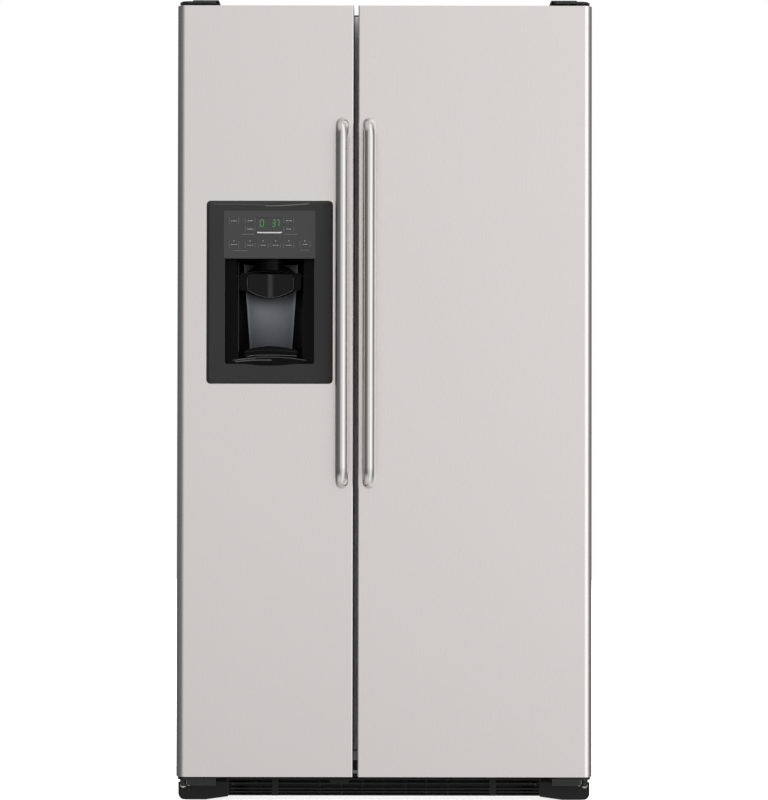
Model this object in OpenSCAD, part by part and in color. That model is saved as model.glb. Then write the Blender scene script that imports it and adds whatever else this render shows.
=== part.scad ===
// Side by side refrigerator: freezer on the left, fresh food on the right.
// The origin is the centre of the footprint on the floor. The doors face -Y and +Z is up.

/* [Overall] */
// Width across both doors
doors_w = 908; // [890:1:930]
// Height of the case top above the floor
case_top = 1746; // [1736:1:1790]
// Depth of the case behind the door seals
case_d = 717; // [705:1:760]
// Width of the freezer door
fz_door_w = 386; // [380:1:396]
// Gap between the two doors
door_gap = 10; // [9:0.5:13]
// Thickness of a door without its seal
door_t = 76; // [74:1:80]
// Height of the doors' lower edge above the floor
door_z0 = 65; // [64:0.5:68]
// Height of the doors' upper edge above the case top
door_over = 4; // [3:0.5:6]
// Space between a closed door and the case, which the seal fills
seal_gap = 13; // [12.5:0.5:15]

/* [Case] */
// Steel sheet of the case
sheet_t = 1; // [0.8:0.1:1.4]
// Case side set in from the doors' outer edge
case_inset = 1; // [0.5:0.5:2]
// Height of the case sides' lower edge
case_z0 = 28; // [26:1:32]
// Radius of the case's top edges
case_r = 8; // [5:0.5:12]
// Width of the steel flange round the case front
flange_w = 20; // [16:1:24]
// Wall of the plastic liners
liner_t = 2.5; // [2:0.25:3]
// Corner radius inside the liners
liner_r = 16; // [10:1:20]
// Insulated wall beside the freezer
fz_wall = 55; // [53:1:57]
// Insulated wall beside the fresh food side
ff_wall = 45; // [43:1:47]
// Insulated roof
roof_wall = 50; // [46:1:54]
// Insulated back wall
back_wall = 60; // [56:1:64]
// Width of the wall between the two liners
mullion_w = 64; // [62:1:66]
// Height of the liner floor
floor_z = 125; // [122:1:128]
// Depth of the machine compartment
mech_d = 250; // [245:1:258]
// Height of the machine compartment above the case's lower edge
mech_h = 230; // [225:1:238]
// Insulation over and before the machine compartment
mech_wall = 45; // [42:1:48]
// How far the rear cover stands out behind the case
cover_out = 12; // [10:1:16]

/* [Doors] */
// Radius of the doors' outer front edge
door_r = 17; // [12:1:20]
// Radius of the doors' edge at the gap
door_gap_r = 3; // [2:0.5:5]
// Depth of the end caps let into the doors
cap_t = 14; // [12:1:18]
// Distance of the hinge pin from the door's outer edge
pin_in = 20; // [18:0.5:22]
// Distance of the hinge pin from the door's back
pin_back = 35; // [33:0.5:38]
// Radius of the hinge pins
pin_r = 6; // [5:0.25:6.5]
// Running clearance round a pin
pin_play = 0.06; // [0.03:0.01:0.09]
// Height of the raised rim on the door liners
rim_d = 25; // [22:1:28]
// Width of that rim
rim_w = 22; // [20:1:24]
// Clearance between pieces that don't touch
gap = 0.3; // [0.2:0.05:0.5]

/* [Seals] */
// Width of the door seal
seal_w = 20; // [18:0.5:20]
// Seal set in from the hinge edge
seal_in = 22; // [22:0.5:24]
// Seal set in from the gap edge
seal_gap_in = 4; // [3.5:0.5:6]

/* [Handles] */
// Radius of the handle tube
handle_r = 14; // [12:0.5:15]
// How far the handle stands out from the door
handle_out = 62; // [56:1:66]
// Height of the handle's lower end
handle_z0 = 694; // [680:1:710]
// Length of the handle
handle_l = 808; // [790:1:820]
// Handle centre from the door's gap edge
handle_in = 24.5; // [22:0.5:28]
// Bend radius at the handle's ends
handle_bend = 32; // [24:1:38]

/* [Hinges and feet] */
// Height of the hinge covers above the case top
hinge_h = 22; // [20:0.5:26]
// Thickness of the hinge plates
hinge_t = 5; // [4:0.5:6]
// Length of the hinge covers across the case
hinge_cover_w = 56; // [48:1:62]
// Width of the hinge plates
hinge_w = 84; // [78:1:90]
// Radius of the rollers
roller_r = 15.5; // [14:0.5:16]
// Width of the rollers
roller_w = 14; // [12:0.5:16]
// Radius of a levelling leg's foot
foot_r = 13; // [11:0.5:14]
// Radius of a levelling leg's stud
stud_r = 5; // [4:0.5:5.5]

/* [Toe grille] */
// How far the grille is set back from the door fronts
grille_back = 60; // [58:1:62]
// Height of the grille's solid ends above the floor
grille_z0 = 5; // [4:0.5:8]
// Height of the grille's middle above the floor
grille_mid_z0 = 14; // [12:0.5:16]
// Length of each solid end
grille_end = 110; // [104:1:116]
// Spacing of the grille's ribs
rib_pitch = 47; // [44:1:50]

/* [Dispenser] */
// Bezel set in from the freezer door's outer edge
bezel_in = 65; // [60:1:70]
// Width of the bezel
bezel_w = 276; // [268:1:280]
// Bezel's upper edge below the door's upper edge
bezel_down = 428; // [420:1:440]
// Height of the bezel
bezel_h = 400; // [396:1:404]
// How far the bezel stands out
bezel_out = 6; // [5:0.5:8]
// Width of the recess opening
recess_w = 195; // [190:1:200]
// Height of the recess opening
recess_h = 230; // [226:1:234]
// Recess opening above the bezel's lower edge
recess_up = 43; // [40:1:46]
// Height of the control panel
panel_h = 105; // [98:1:108]
// Depth of the recess behind the door front
recess_d = 80; // [76:1:84]
// Bulge of the freezer door liner behind the dispenser
bulge_d = 74; // [72:1:76]
// Width of the ice chute
chute_w = 60; // [54:1:64]
// Depth of the ice chute
chute_d = 46; // [42:1:48]
// Radius of the nozzle ring
nozzle_r = 29; // [27:0.5:31]

/* [Shelves and bins] */
// Glass of the shelves
glass_t = 4; // [3:0.5:5]
// Wall of the bins and drawers
bin_t = 2.5; // [2:0.25:3]
// Height of the door bins
bin_h = 90; // [80:1:95]
// Depth of the deep door bins
bin_deep = 115; // [105:1:118]
// Depth of the shallow door bins
bin_shallow = 75; // [65:1:80]
// Travel of the drawers while the door is shut
drawer_travel = 90; // [70:1:92]
// Diameter of the freezer shelf wires
wire_d = 4; // [3:0.5:5]
// Spacing of those wires
wire_pitch = 16; // [14:1:22]
// Diameter of the fans
fan_d = 110; // [100:1:116]
// Diameter of the evaporator and condenser tube
coil_d = 8; // [6:0.5:9]

/* [Hidden] */
$fn = 48;

// Depth positions, from the handles at the front to the rear cover
total_d = handle_out + door_t + seal_gap + case_d + cover_out;
y_door = -total_d / 2 + handle_out;
y_dback = y_door + door_t;
y_case = y_dback + seal_gap;
y_back = y_case + case_d;
y_wall = y_back - back_wall;

// Width positions
half_w = doors_w / 2;
case_hw = half_w - case_inset;
gap_x = -half_w + fz_door_w + door_gap / 2;
fz_x1 = gap_x - door_gap / 2;
ff_x0 = gap_x + door_gap / 2;
pin_x = half_w - pin_in;
pin_y = y_dback - pin_back;

// Height positions
door_z1 = case_top + door_over;
roof_z = case_top - roof_wall;
rail_z0 = 34;
rail_z1 = 70;
rail_w = 30;
lip_z0 = floor_z - 20;

// Machine compartment and the step that it makes in the liners
mech_y = y_back - mech_d;
mech_z = case_z0 + mech_h;
step_y = mech_y - mech_wall;
step_z = mech_z + mech_wall;

// Inside faces of the two liners
fz_x0 = -case_hw + fz_wall;
fz_in_x1 = gap_x - mullion_w / 2;
ff_in_x0 = gap_x + mullion_w / 2;
ff_x1 = case_hw - ff_wall;

// Door liner rims: the free edge clears the liner as the door swings
swing_gap = 12;
rim_hinge_in = 5;
fz_rim_x0 = fz_x0 + rim_hinge_in;
fz_rim_x1 = fz_in_x1 - swing_gap;
ff_rim_x0 = ff_in_x0 + swing_gap;
ff_rim_x1 = ff_x1 - rim_hinge_in;
rim_z0 = floor_z + 10;
rim_z1 = roof_z - 10;

// Dispenser
bez_x0 = -half_w + bezel_in;
bez_x1 = bez_x0 + bezel_w;
bez_x = (bez_x0 + bez_x1) / 2;
bez_z1 = door_z1 - bezel_down;
bezel_z0 = bez_z1 - bezel_h;
bez_y = y_door - bezel_out;
bezel_lap = 8;
collar_d = 10;
rec_z0 = bezel_z0 + recess_up;
rec_z1 = rec_z0 + recess_h;
wing_d = 28;
housing_t = 3;
alcove_hw = 74;
alcove_d = recess_d - wing_d;
alcove_r = (pow(alcove_hw, 2) + pow(alcove_d, 2)) / (2 * alcove_d);
alcove_y = y_door + recess_d - alcove_r;
bulge_z0 = bezel_z0 + 18;
bulge_z1 = bez_z1 + 8;
bulge_x0 = bez_x0;
bulge_x1 = fz_rim_x1 - rim_w + 15;
chute_top_y = y_dback + bulge_d - 32;
chute_low_y = y_door + 42;
chute_a = atan2(chute_top_y - chute_low_y, bulge_z1 - rec_z1);
lens_h = 10;
lens_hw = 88;
lens_r = (pow(lens_hw, 2) + pow(lens_h, 2)) / (2 * lens_h);
tray_z = rec_z0 + 6;
flap_up = 62;
paddle_z = rec_z1 - 36;
paddle_y = y_door + 44;
pivot_hw = 75;

// Shelves, drawers and bins
fz_shelf_z = [640, 830, 1020];
ff_shelf_z0 = 760;
ff_shelf_z1 = roof_z - 276;
ff_shelf_z = [for (i = [0 : 3]) ff_shelf_z0 + i * (ff_shelf_z1 - ff_shelf_z0) / 3];
shelf_y0 = y_dback + 147;
shelf_y1 = y_wall - 12;
drawer_y0 = y_dback + bin_shallow + drawer_travel + 18;
crisper_cover_z = 505;
ledge_w = 12;
ledge_t = 6;
bucket_z0 = bulge_z1 + 6;
bucket_z1 = bucket_z0 + 175;
bucket_y0 = y_dback + 30;
bucket_y1 = bucket_y0 + 480;
auger_z = bucket_z0 + 52;
maker_z0 = bucket_z1 + 50;
bin_z0 = rim_z0 + 35;
fz_bin_z2 = bulge_z0 - 250;
fz_bin_z = [bin_z0, (bin_z0 + fz_bin_z2) / 2, fz_bin_z2, bucket_z1 + 40];
ff_shallow_z = [bin_z0, bin_z0 + 230];
dairy_z0 = rim_z1 - 206;
ff_deep_z0 = 770;
ff_deep_z2 = dairy_z0 - 240;
ff_deep_z = [ff_deep_z0, (ff_deep_z0 + ff_deep_z2) / 2, ff_deep_z2];
dairy_h = 130;
dairy_d = 95;

// Evaporator behind the freezer's rear cover
evap_y0 = y_wall - 78;
evap_cover_t = 3;
evap_cover_z1 = 1150;
evap_fan_z = 900;
fz_mid_x = (fz_x0 + fz_in_x1) / 2;
ff_mid_x = (ff_in_x0 + ff_x1) / 2;

// ---------------------------------------------------------------- helpers

// Box between its lowest and highest corners
module box(lo, hi) {
  translate(lo) cube(hi - lo);
}

// Rectangle with four round corners
module rrect(x0, x1, y0, y1, r) {
  translate([x0 + r, y0]) square([x1 - x0 - 2 * r, y1 - y0]);
  translate([x0, y0 + r]) square([x1 - x0, y1 - y0 - 2 * r]);
  for (x = [x0 + r, x1 - r], y = [y0 + r, y1 - r]) translate([x, y]) circle(r);
}

// Rectangle with its two upper corners round
module arch(hw, z0, z1, r) {
  translate([-hw, z0]) square([2 * hw, z1 - r - z0]);
  translate([-hw + r, z0]) square([2 * hw - 2 * r, z1 - z0]);
  for (s = [-1, 1]) translate([s * (hw - r), z1 - r]) circle(r);
}

// Extrudes an outline drawn in X and Z from y0 to y1
module along_y(y0, y1) {
  translate([0, y1, 0]) rotate([90, 0, 0]) linear_extrude(y1 - y0) children();
}

// Extrudes an outline drawn in X and Y from z0 to z1
module along_z(z0, z1) {
  translate([0, 0, z0]) linear_extrude(z1 - z0) children();
}

// Cylinders along X, Y and Z from a start point
module rod_x(p, l, r) {
  translate(p) rotate([0, 90, 0]) cylinder(h = l, r = r);
}
module rod_y(p, l, r) {
  translate(p) rotate([-90, 0, 0]) cylinder(h = l, r = r);
}
module rod_z(p, l, r) {
  translate(p) cylinder(h = l, r = r);
}

// Thin eight-sided wires along X, Y and Z
module wire_x(p, l, d) {
  translate(p) rotate([0, 90, 0]) rotate(22.5) cylinder(h = l, d = d, $fn = 8);
}
module wire_y(p, l, d) {
  translate(p) rotate([-90, 0, 0]) rotate(22.5) cylinder(h = l, d = d, $fn = 8);
}
module wire_z(p, l, d) {
  translate(p) rotate(22.5) cylinder(h = l, d = d, $fn = 8);
}

// Upright rectangular ring, w wide
module ring_y(x0, x1, z0, z1, w, y0, y1, r) {
  along_y(y0, y1) difference() {
    rrect(x0, x1, z0, z1, r);
    rrect(x0 + w, x1 - w, z0 + w, z1 - w, max(r - w, 2));
  }
}

// Open-topped tub with straight walls
module tub(lo, hi, t) {
  difference() {
    along_z(lo[2], hi[2]) rrect(lo[0], hi[0], lo[1], hi[1], 8);
    along_z(lo[2] + t, hi[2] + 1) rrect(lo[0] + t, hi[0] - t, lo[1] + t, hi[1] - t, 8 - t);
  }
}

// Both sides of the case: +X and its mirror image
module both_sides() {
  children();
  mirror([1, 0, 0]) children();
}

// ---------------------------------------------------------------- case

// Folded steel: sides, roof, front flange and the strip between the openings
module cabinet_wrapper() {
  color("dimgray") {
    along_y(y_case, y_back) difference() {
      arch(case_hw, case_z0, case_top, case_r);
      arch(case_hw - sheet_t, case_z0 - 1, case_top - sheet_t, case_r - sheet_t);
    }
    along_y(y_case, y_case + sheet_t) {
      difference() {
        arch(case_hw, lip_z0, case_top, case_r);
        translate([-case_hw + flange_w, lip_z0 - 1])
          square([2 * (case_hw - flange_w), case_top - flange_w - lip_z0 + 1]);
      }
      translate([gap_x - mullion_w / 2 + 14, lip_z0]) square([mullion_w - 28, case_top - lip_z0 - 5]);
    }
  }
}

module back_panel() {
  ribs = 5;
  rib_gap = 2 * (case_hw - 60) / ribs;
  rib_hl = (case_top - mech_z) / 2 - 104;
  color("silver") {
    box([-case_hw + sheet_t, y_back - sheet_t, mech_z], [case_hw - sheet_t, y_back, case_top - case_r]);
    for (i = [0 : ribs]) translate([-case_hw + 60 + i * rib_gap, y_back, (mech_z + case_top) / 2])
      rotate([90, 0, 90]) linear_extrude(40, center = true)
        polygon([[-0.5, -rib_hl], [2.5, 6 - rib_hl], [2.5, rib_hl - 6], [-0.5, rib_hl]]);
  }
}

// Space inside a liner, grown by e on every wall
module cavity(x0, x1, e) {
  along_y(y_case - 1, step_y + e) rrect(x0 - e, x1 + e, floor_z - e, roof_z + e, liner_r + e);
  along_y(step_y - 2, y_wall + e) rrect(x0 - e, x1 + e, step_z - e, roof_z + e, liner_r + e);
}

// Room that the foam leaves for a liner; its corners are square round the liner's round ones
module liner_room(x0, x1) {
  e = liner_t + 0.1;
  box([x0 - e, y_case - 1, floor_z - e], [x1 + e, step_y + e, roof_z + e]);
  box([x0 - e, step_y - 2, step_z - e], [x1 + e, y_wall + e, roof_z + e]);
}

// Foam that fills the walls, with the machine compartment cut out
module cabinet_foam() {
  color("khaki") difference() {
    along_y(y_case + liner_t + 0.1, y_back - sheet_t)
      arch(case_hw - sheet_t, rail_z1, case_top - sheet_t, case_r);
    liner_room(fz_x0, fz_in_x1);
    liner_room(ff_in_x0, ff_x1);
    box([-half_w, mech_y, rail_z1 - 1], [half_w, y_back, mech_z]);
  }
}

// Ledge pair along the side walls of a liner, rooted in them
module ledges(x0, x1, z, y0, y1) {
  for (x = [x0 - 1, x1 - ledge_w]) box([x, y0, z - ledge_t], [x + ledge_w + 1, y1, z]);
}

// Liner with its front flange, from flange edge fl_x0 to fl_x1
module liner(x0, x1, fl_x0, fl_x1) {
  difference() {
    union() {
      intersection() {
        cavity(x0, x1, liner_t);
        box([-half_w, y_case, 0], [half_w, y_back, case_top]);
      }
      box([fl_x0, y_case, lip_z0], [fl_x1, y_case + liner_t, case_top - flange_w]);
    }
    cavity(x0, x1, 0);
  }
}

module freezer_liner() {
  color("white") {
    liner(fz_x0, fz_in_x1, -case_hw + flange_w, fz_in_x1 + 14);
    for (z = fz_shelf_z) ledges(fz_x0, fz_in_x1, z - gap, shelf_y0, evap_y0 - 30);
    ledges(fz_x0, fz_in_x1, low_basket_z1 - 5 - gap, drawer_y0, step_y - 4);
    ledges(fz_x0, fz_in_x1, top_basket_z1 - 5 - gap, drawer_y0, evap_y0 - 30);
    ledges(fz_x0, fz_in_x1, bucket_z0 - gap, bucket_y0 + 20, bucket_y1);
  }
}

module fresh_liner() {
  color("white") {
    liner(ff_in_x0, ff_x1, ff_in_x0 - 14, case_hw - flange_w);
    filter_head();
  }
}

// Chassis: side rails, front rail, base plate of the machine compartment, roller forks
module base_frame() {
  fork_y = [y_case + 50, y_back - 60];
  fork_x = case_hw - 2 - rail_w / 2;
  color("gray") {
    both_sides() {
      difference() {
        box([case_hw - sheet_t - rail_w, y_case + 4, rail_z0], [case_hw - sheet_t, y_back - 2, rail_z1]);
        box([case_hw - sheet_t - rail_w - 1, y_case + 6, rail_z0 + 2], [case_hw - sheet_t - 2, y_back - 4, rail_z1 - 2]);
      }
      for (y = fork_y) {
        for (s = [-1, 1]) box([fork_x + s * (roller_w / 2 + 2) - 1, y - 12, roller_r - 7],
                              [fork_x + s * (roller_w / 2 + 2) + 1, y + 12, rail_z0]);
        rod_x([fork_x - roller_w / 2 - 3, y, roller_r], roller_w + 6, 3);
      }
    }
    box([-case_hw + sheet_t, y_case, 58], [case_hw - sheet_t, y_case + 2, lip_z0]);
    difference() {
      box([-case_hw + sheet_t, y_case + 2, 58], [case_hw - sheet_t, y_case + 36, 60]);
      both_sides() rod_z([leg_x(), leg_y(), 50], 20, stud_r + 0.3);
    }
    difference() {
      box([-case_hw + sheet_t, mech_y + 6, 40], [case_hw - sheet_t, y_back - 2, 42]);
      box([coil_x0 + 70, mech_y + 40, 30], [coil_x0 + 280, mech_y + 60, 50]);
    }
  }
}

function leg_x() = case_hw - rail_w - 20;
function leg_y() = y_case + 20;

// Turns of a screw: a ring for each pitch of the thread
module threaded_stud(p, l, r, pitch) {
  rod_z(p, l, r - 0.5);
  for (i = [0 : floor(l / pitch) - 1]) translate([p[0], p[1], p[2] + (i + 0.5) * pitch])
    cylinder(h = pitch / 2, r = r);
}

// Stud, hexagon and round foot of a levelling leg
module leveling_leg(s) {
  translate([s * leg_x(), leg_y(), 0]) {
    rotate_extrude() polygon([[0, 0], [foot_r, 0], [foot_r, 4], [stud_r + 2, 8], [0, 8]]);
    cylinder(h = 14, r = 8, $fn = 6);
    threaded_stud([0, 0, 8], 62, stud_r, 4);
  }
}
module leveling_leg_left() {
  color("silver") leveling_leg(-1);
}
module leveling_leg_right() {
  color("silver") leveling_leg(1);
}

// Tyre with a bored hub
module roller(s, y) {
  translate([s * (case_hw - 2 - rail_w / 2), y, roller_r]) rotate([0, 90, 0]) rotate_extrude()
    polygon([[3.1, -roller_w / 2], [7, -roller_w / 2], [7, -roller_w / 2 + 2], [roller_r - 3, -roller_w / 2 + 2],
      [roller_r - 3, -roller_w / 2], [roller_r - 1, -roller_w / 2], [roller_r, -roller_w / 2 + 1.5],
      [roller_r, roller_w / 2 - 1.5], [roller_r - 1, roller_w / 2], [roller_r - 3, roller_w / 2],
      [roller_r - 3, roller_w / 2 - 2], [7, roller_w / 2 - 2], [7, roller_w / 2], [3.1, roller_w / 2]]);
}
module front_roller_left() {
  color("black") roller(-1, y_case + 50);
}
module front_roller_right() {
  color("black") roller(1, y_case + 50);
}
module rear_rollers() {
  color("black") for (s = [-1, 1]) roller(s, y_back - 60);
}

// Grille below the doors: solid ends, slats, ribs and two broad posts
module toe_grille() {
  y0 = y_door + grille_back;
  slats = [grille_mid_z0, 21, 28, 40, 50];
  end_z1 = 44;
  mid_hw = half_w - grille_end;
  color("black") {
    // solid ends, whose lower edge slopes up towards the middle
    both_sides() along_y(y0, y0 + 3) difference() {
      union() {
        translate([mid_hw, grille_z0 + 14]) square([grille_end, end_z1 - grille_z0 - 14]);
        polygon([[half_w - 14, grille_z0], [half_w - 14, end_z1], [mid_hw, end_z1], [mid_hw, grille_mid_z0 - 2],
          [half_w - 60, grille_z0]]);
        translate([half_w - 14, grille_z0 + 14]) circle(14);
      }
      translate([half_w - 18, end_z1 + 4]) circle(13);
    }
    // louvre slats lean back
    for (z = slats) translate([0, y0, z]) rotate([0, -90, 0]) linear_extrude(2 * mid_hw + 2, center = true)
      polygon([[0, 0], [2.4, 0], [6, 12], [4, 12]]);
    for (x = [-240, 240]) box([x - 6.5, y0 - 1, grille_mid_z0], [x + 6.5, y0 + 10, 56]);
    for (i = [-3 : 3]) box([i * rib_pitch - 1, y0 + 4, grille_mid_z0], [i * rib_pitch + 1, y0 + 12, 56]);
    // top rail and the brackets that clip onto the front rail
    box([-mid_hw - 1, y0 + 2, 55], [mid_hw + 1, y0 + 14, 57.5]);
    both_sides() {
      box([mid_hw - 1, y0 + 1, grille_mid_z0], [mid_hw + 2, y0 + 14, 57.5]);
      box([mid_hw - 40, y0 + 12, 55], [mid_hw - 10, y_case + 30, 57.5]);
    }
    // pull tab at the middle left
    along_y(y0 - 1, y0 + 6) polygon([[-124, 52], [-72, 52], [-80, 42], [-116, 42]]);
  }
}

// ---------------------------------------------------------------- hinges

hinge_z = case_top + hinge_h - 3 - hinge_t;
hinge_x0 = half_w - 2 - hinge_w;
hinge_x1 = half_w - 2;

// Plates on the case top that reach over the doors and carry the upper pins
module top_hinges() {
  color("black") both_sides() {
    along_z(hinge_z, hinge_z + hinge_t) {
      translate([hinge_x0, pin_y + 2]) square([hinge_w, y_case + 8 - pin_y]);
      translate([hinge_x0 + 10, pin_y - 12]) square([pin_x - hinge_x0 - 10, 16]);
      translate([hinge_x0 + 10, pin_y - 2]) circle(10);
      translate([pin_x, pin_y + 3]) circle(15);
    }
    box([hinge_x0, y_case + 5, case_top], [hinge_x1 - 30, y_case + 10, hinge_z + hinge_t]);
    difference() {
      box([hinge_x0, y_case + 5, case_top], [hinge_x1 - 30, y_case + 70, case_top + 4]);
      for (dx = [14, 40]) rod_z([hinge_x0 + dx, y_case + 50, case_top - 1], 6, 3.2);
    }
    for (dx = [14, 40]) translate([hinge_x0 + dx, y_case + 50, case_top]) cylinder(h = 9, r = 6, $fn = 6);
    rod_z([pin_x, pin_y, door_z1 - cap_t + 1], hinge_z - door_z1 + cap_t, pin_r);
  }
}

// Moulded caps over the upper hinges
module hinge_covers() {
  t = 2;
  x0 = hinge_x0 - 3;
  x1 = hinge_x0 + hinge_cover_w;
  y0 = pin_y - 10;
  y1 = y_case + 84;
  z1 = case_top + hinge_h;
  color("black") both_sides() difference() {
    hull() {
      box([x0, y0, door_z1 + 2], [x1, y1, z1 - 3]);
      box([x0 + 2, y0 + 2, z1 - 1], [x1 - 2, y1 - 6, z1]);
    }
    box([x0 + t, pin_y - 14 + t + 2, case_top - 1], [x1 - t, y1 - t, hinge_z + hinge_t + gap]);
    box([hinge_x0 + hinge_cover_w - t - 1, y0 - 3, hinge_z - gap], [x1 + 1, y_case + 20, hinge_z + hinge_t + gap]);
  }
  color("black") both_sides() difference() {
    box([x0, y_case + 2, case_top + gap], [x1, y1, door_z1 + 2]);
    box([x0 + t, y_case + 1, case_top - 1], [x1 - t, y1 - t, door_z1 + 3]);
  }
}

// Brackets bolted to the front rail that carry the doors on the lower pins
module bottom_hinges() {
  z0 = 45;
  color("dimgray") both_sides() {
    along_z(door_z0 - 8, door_z0 - 4) {
      translate([hinge_x0, pin_y - 30]) square([hinge_w - 16, y_case - pin_y + 30]);
      translate([hinge_x0, pin_y - 14]) square([hinge_w, y_case - pin_y + 14]);
      translate([hinge_x1 - 16, pin_y - 14]) circle(16);
    }
    box([hinge_x0, pin_y - 30, z0], [hinge_x1 - 22, pin_y - 27, door_z0 - 4]);
    box([hinge_x0, y_case - 4, z0], [hinge_x1, y_case, door_z0 - 4]);
    rod_z([pin_x, pin_y, door_z0 - 5], cap_t + 3, pin_r);
    rod_z([pin_x, pin_y, door_z0 - 4.5], 3, pin_r + 3);
    for (dx = [12, 32]) translate([hinge_x1 - dx, y_case - 4, z0 + 6]) rotate([90, 0, 0]) cylinder(h = 5, r = 6, $fn = 6);
    translate([hinge_x1 - 12, pin_y - 14, z0 - 4]) cylinder(h = 18, r = 6, $fn = 6);
  }
}

// ---------------------------------------------------------------- machine compartment

comp_x = half_w - 184;
comp_y = (mech_y + y_back) / 2;
comp_z0 = 42;
comp_r = 85;

// Welded pot on rubber mounts, with its terminal box and tube stubs
module compressor() {
  h = mech_z - comp_z0 - 52;
  color("black") {
    translate([comp_x, comp_y, comp_z0 + 22]) rotate_extrude()
      polygon(concat([[0, 0]], [for (a = [-60 : 10 : 0]) [comp_r - 20 + 20 * cos(a), 20 + 20 * sin(a)]],
        [[comp_r, 42], [comp_r + 2, 43], [comp_r + 2, 47], [comp_r, 48]],
        [for (a = [0 : 10 : 90]) [comp_r - 55 + 55 * cos(a), h - 55 + 55 * sin(a)]], [[0, h]]));
    for (x = [-1, 1]) box([comp_x + x * 62 - 14, comp_y - 80, comp_z0 + 18], [comp_x + x * 62 + 14, comp_y + 80, comp_z0 + 28]);
    box([comp_x - comp_r - 24, comp_y - 24, comp_z0 + 55], [comp_x - comp_r + 12, comp_y + 24, comp_z0 + 105]);
    for (a = [-40, 200]) rod_z([comp_x + 60 * cos(a), comp_y + 60 * sin(a), comp_z0 + h - 20], 40, 4);
  }
  color("gray") for (x = [-62, 62], y = [-66, 66]) translate([comp_x + x, comp_y + y, comp_z0]) difference() {
    cylinder(h = 18, r = 12);
    translate([0, 0, 6]) difference() {
      cylinder(h = 5, r = 14);
      cylinder(h = 5, r = 8.5);
    }
  }
}

// One layer of a serpentine tube: passes along X joined by bends
module serpentine(p, l, n, pitch, d) {
  translate(p) {
    for (i = [0 : n - 1]) rod_x([0, i * pitch, 0], l, d / 2);
    for (i = [0 : n - 2]) translate([i % 2 == 0 ? l : 0, (i + 0.5) * pitch, 0])
      rotate([0, 0, i % 2 == 0 ? -90 : 90]) rotate_extrude(angle = 180)
        translate([pitch / 2, 0]) circle(d = d, $fn = 24);
  }
}

coil_x0 = -case_hw + 53;
coil_l = 330;
coil_y0 = mech_y + 34;
coil_pitch = 38;
coil_n = 5;
coil_foot_x = [coil_x0 + 14, coil_x0 + 314];

// Condenser: three tube layers carried by upright wire plates
module condenser_coil() {
  color("black") {
    for (k = [0 : 1]) serpentine([coil_x0, coil_y0, 110 + 60 * k], coil_l, coil_n, coil_pitch, coil_d);
    for (i = [0 : 3]) box([coil_x0 + 14 + i * 100, coil_y0 - 10, 88],
                          [coil_x0 + 16 + i * 100, coil_y0 + (coil_n - 1) * coil_pitch + 10, 192]);
    for (x = coil_foot_x) box([x, coil_y0 + 70, comp_z0], [x + 15, coil_y0 + 76, 92]);
  }
}

cfan_x = comp_x - 230;
cfan_z = 148;

// Shroud plate, motor and its arms
module condenser_fan_frame() {
  color("gray") {
    difference() {
      box([cfan_x - 2, mech_y + 10, comp_z0], [cfan_x, y_back - 18, mech_z - 6]);
      rod_x([cfan_x - 3, comp_y, cfan_z], 4, fan_d / 2 + 10);
    }
    rod_x([cfan_x + 34, comp_y, cfan_z], 34, 26);
    for (a = [45 : 90 : 315]) translate([cfan_x - 1, comp_y, cfan_z]) rotate([a, 0, 0]) {
      box([0, -5, fan_d / 2 + 12], [44, 5, fan_d / 2 + 15]);
      box([40, -5, 20], [44, 5, fan_d / 2 + 15]);
    }
    box([cfan_x - 12, mech_y + 10, comp_z0], [cfan_x, y_back - 18, comp_z0 + 2]);
  }
}

// Hub with pitched blades on a shaft along Z; r is the tip radius
module fan_rotor(r, depth, blades) {
  cylinder(h = depth, r = r * 0.28);
  translate([0, 0, depth]) cylinder(h = 3, r1 = r * 0.28, r2 = r * 0.2);
  intersection() {
    translate([0, 0, -1]) cylinder(h = depth + 2, r = r);
    for (i = [0 : blades - 1]) rotate(i * 360 / blades)
      translate([r * 0.2, 0, depth / 2]) rotate([32, 0, 0]) translate([0, -r * 0.3, -0.8]) cube([r, r * 0.6, 1.6]);
  }
}

module condenser_fan() {
  color("black") translate([cfan_x + 10, comp_y, cfan_z]) rotate([0, 90, 0]) {
    fan_rotor(fan_d / 2, 16, 5);
    translate([0, 0, 15]) cylinder(h = 8.5, r = 3);
  }
}

module drain_pan() {
  color("black") difference() {
    hull() {
      along_z(comp_z0 + 34, comp_z0 + 36) rrect(coil_x0 - 20, coil_x0 + coil_l + 20, mech_y + 14, y_back - 22, 12);
      along_z(comp_z0 + gap, comp_z0 + 2) rrect(coil_x0 - 10, coil_x0 + coil_l + 10, mech_y + 22, y_back - 30, 12);
    }
    hull() {
      along_z(comp_z0 + 35, comp_z0 + 37) rrect(coil_x0 - 18, coil_x0 + coil_l + 18, mech_y + 16, y_back - 24, 10);
      along_z(comp_z0 + 3, comp_z0 + 5) rrect(coil_x0 - 8, coil_x0 + coil_l + 8, mech_y + 24, y_back - 32, 10);
    }
    for (x = coil_foot_x) box([x - 1, coil_y0 + 69, 40], [x + 16, coil_y0 + 77, comp_z0 + 4]);
  }
}

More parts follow.
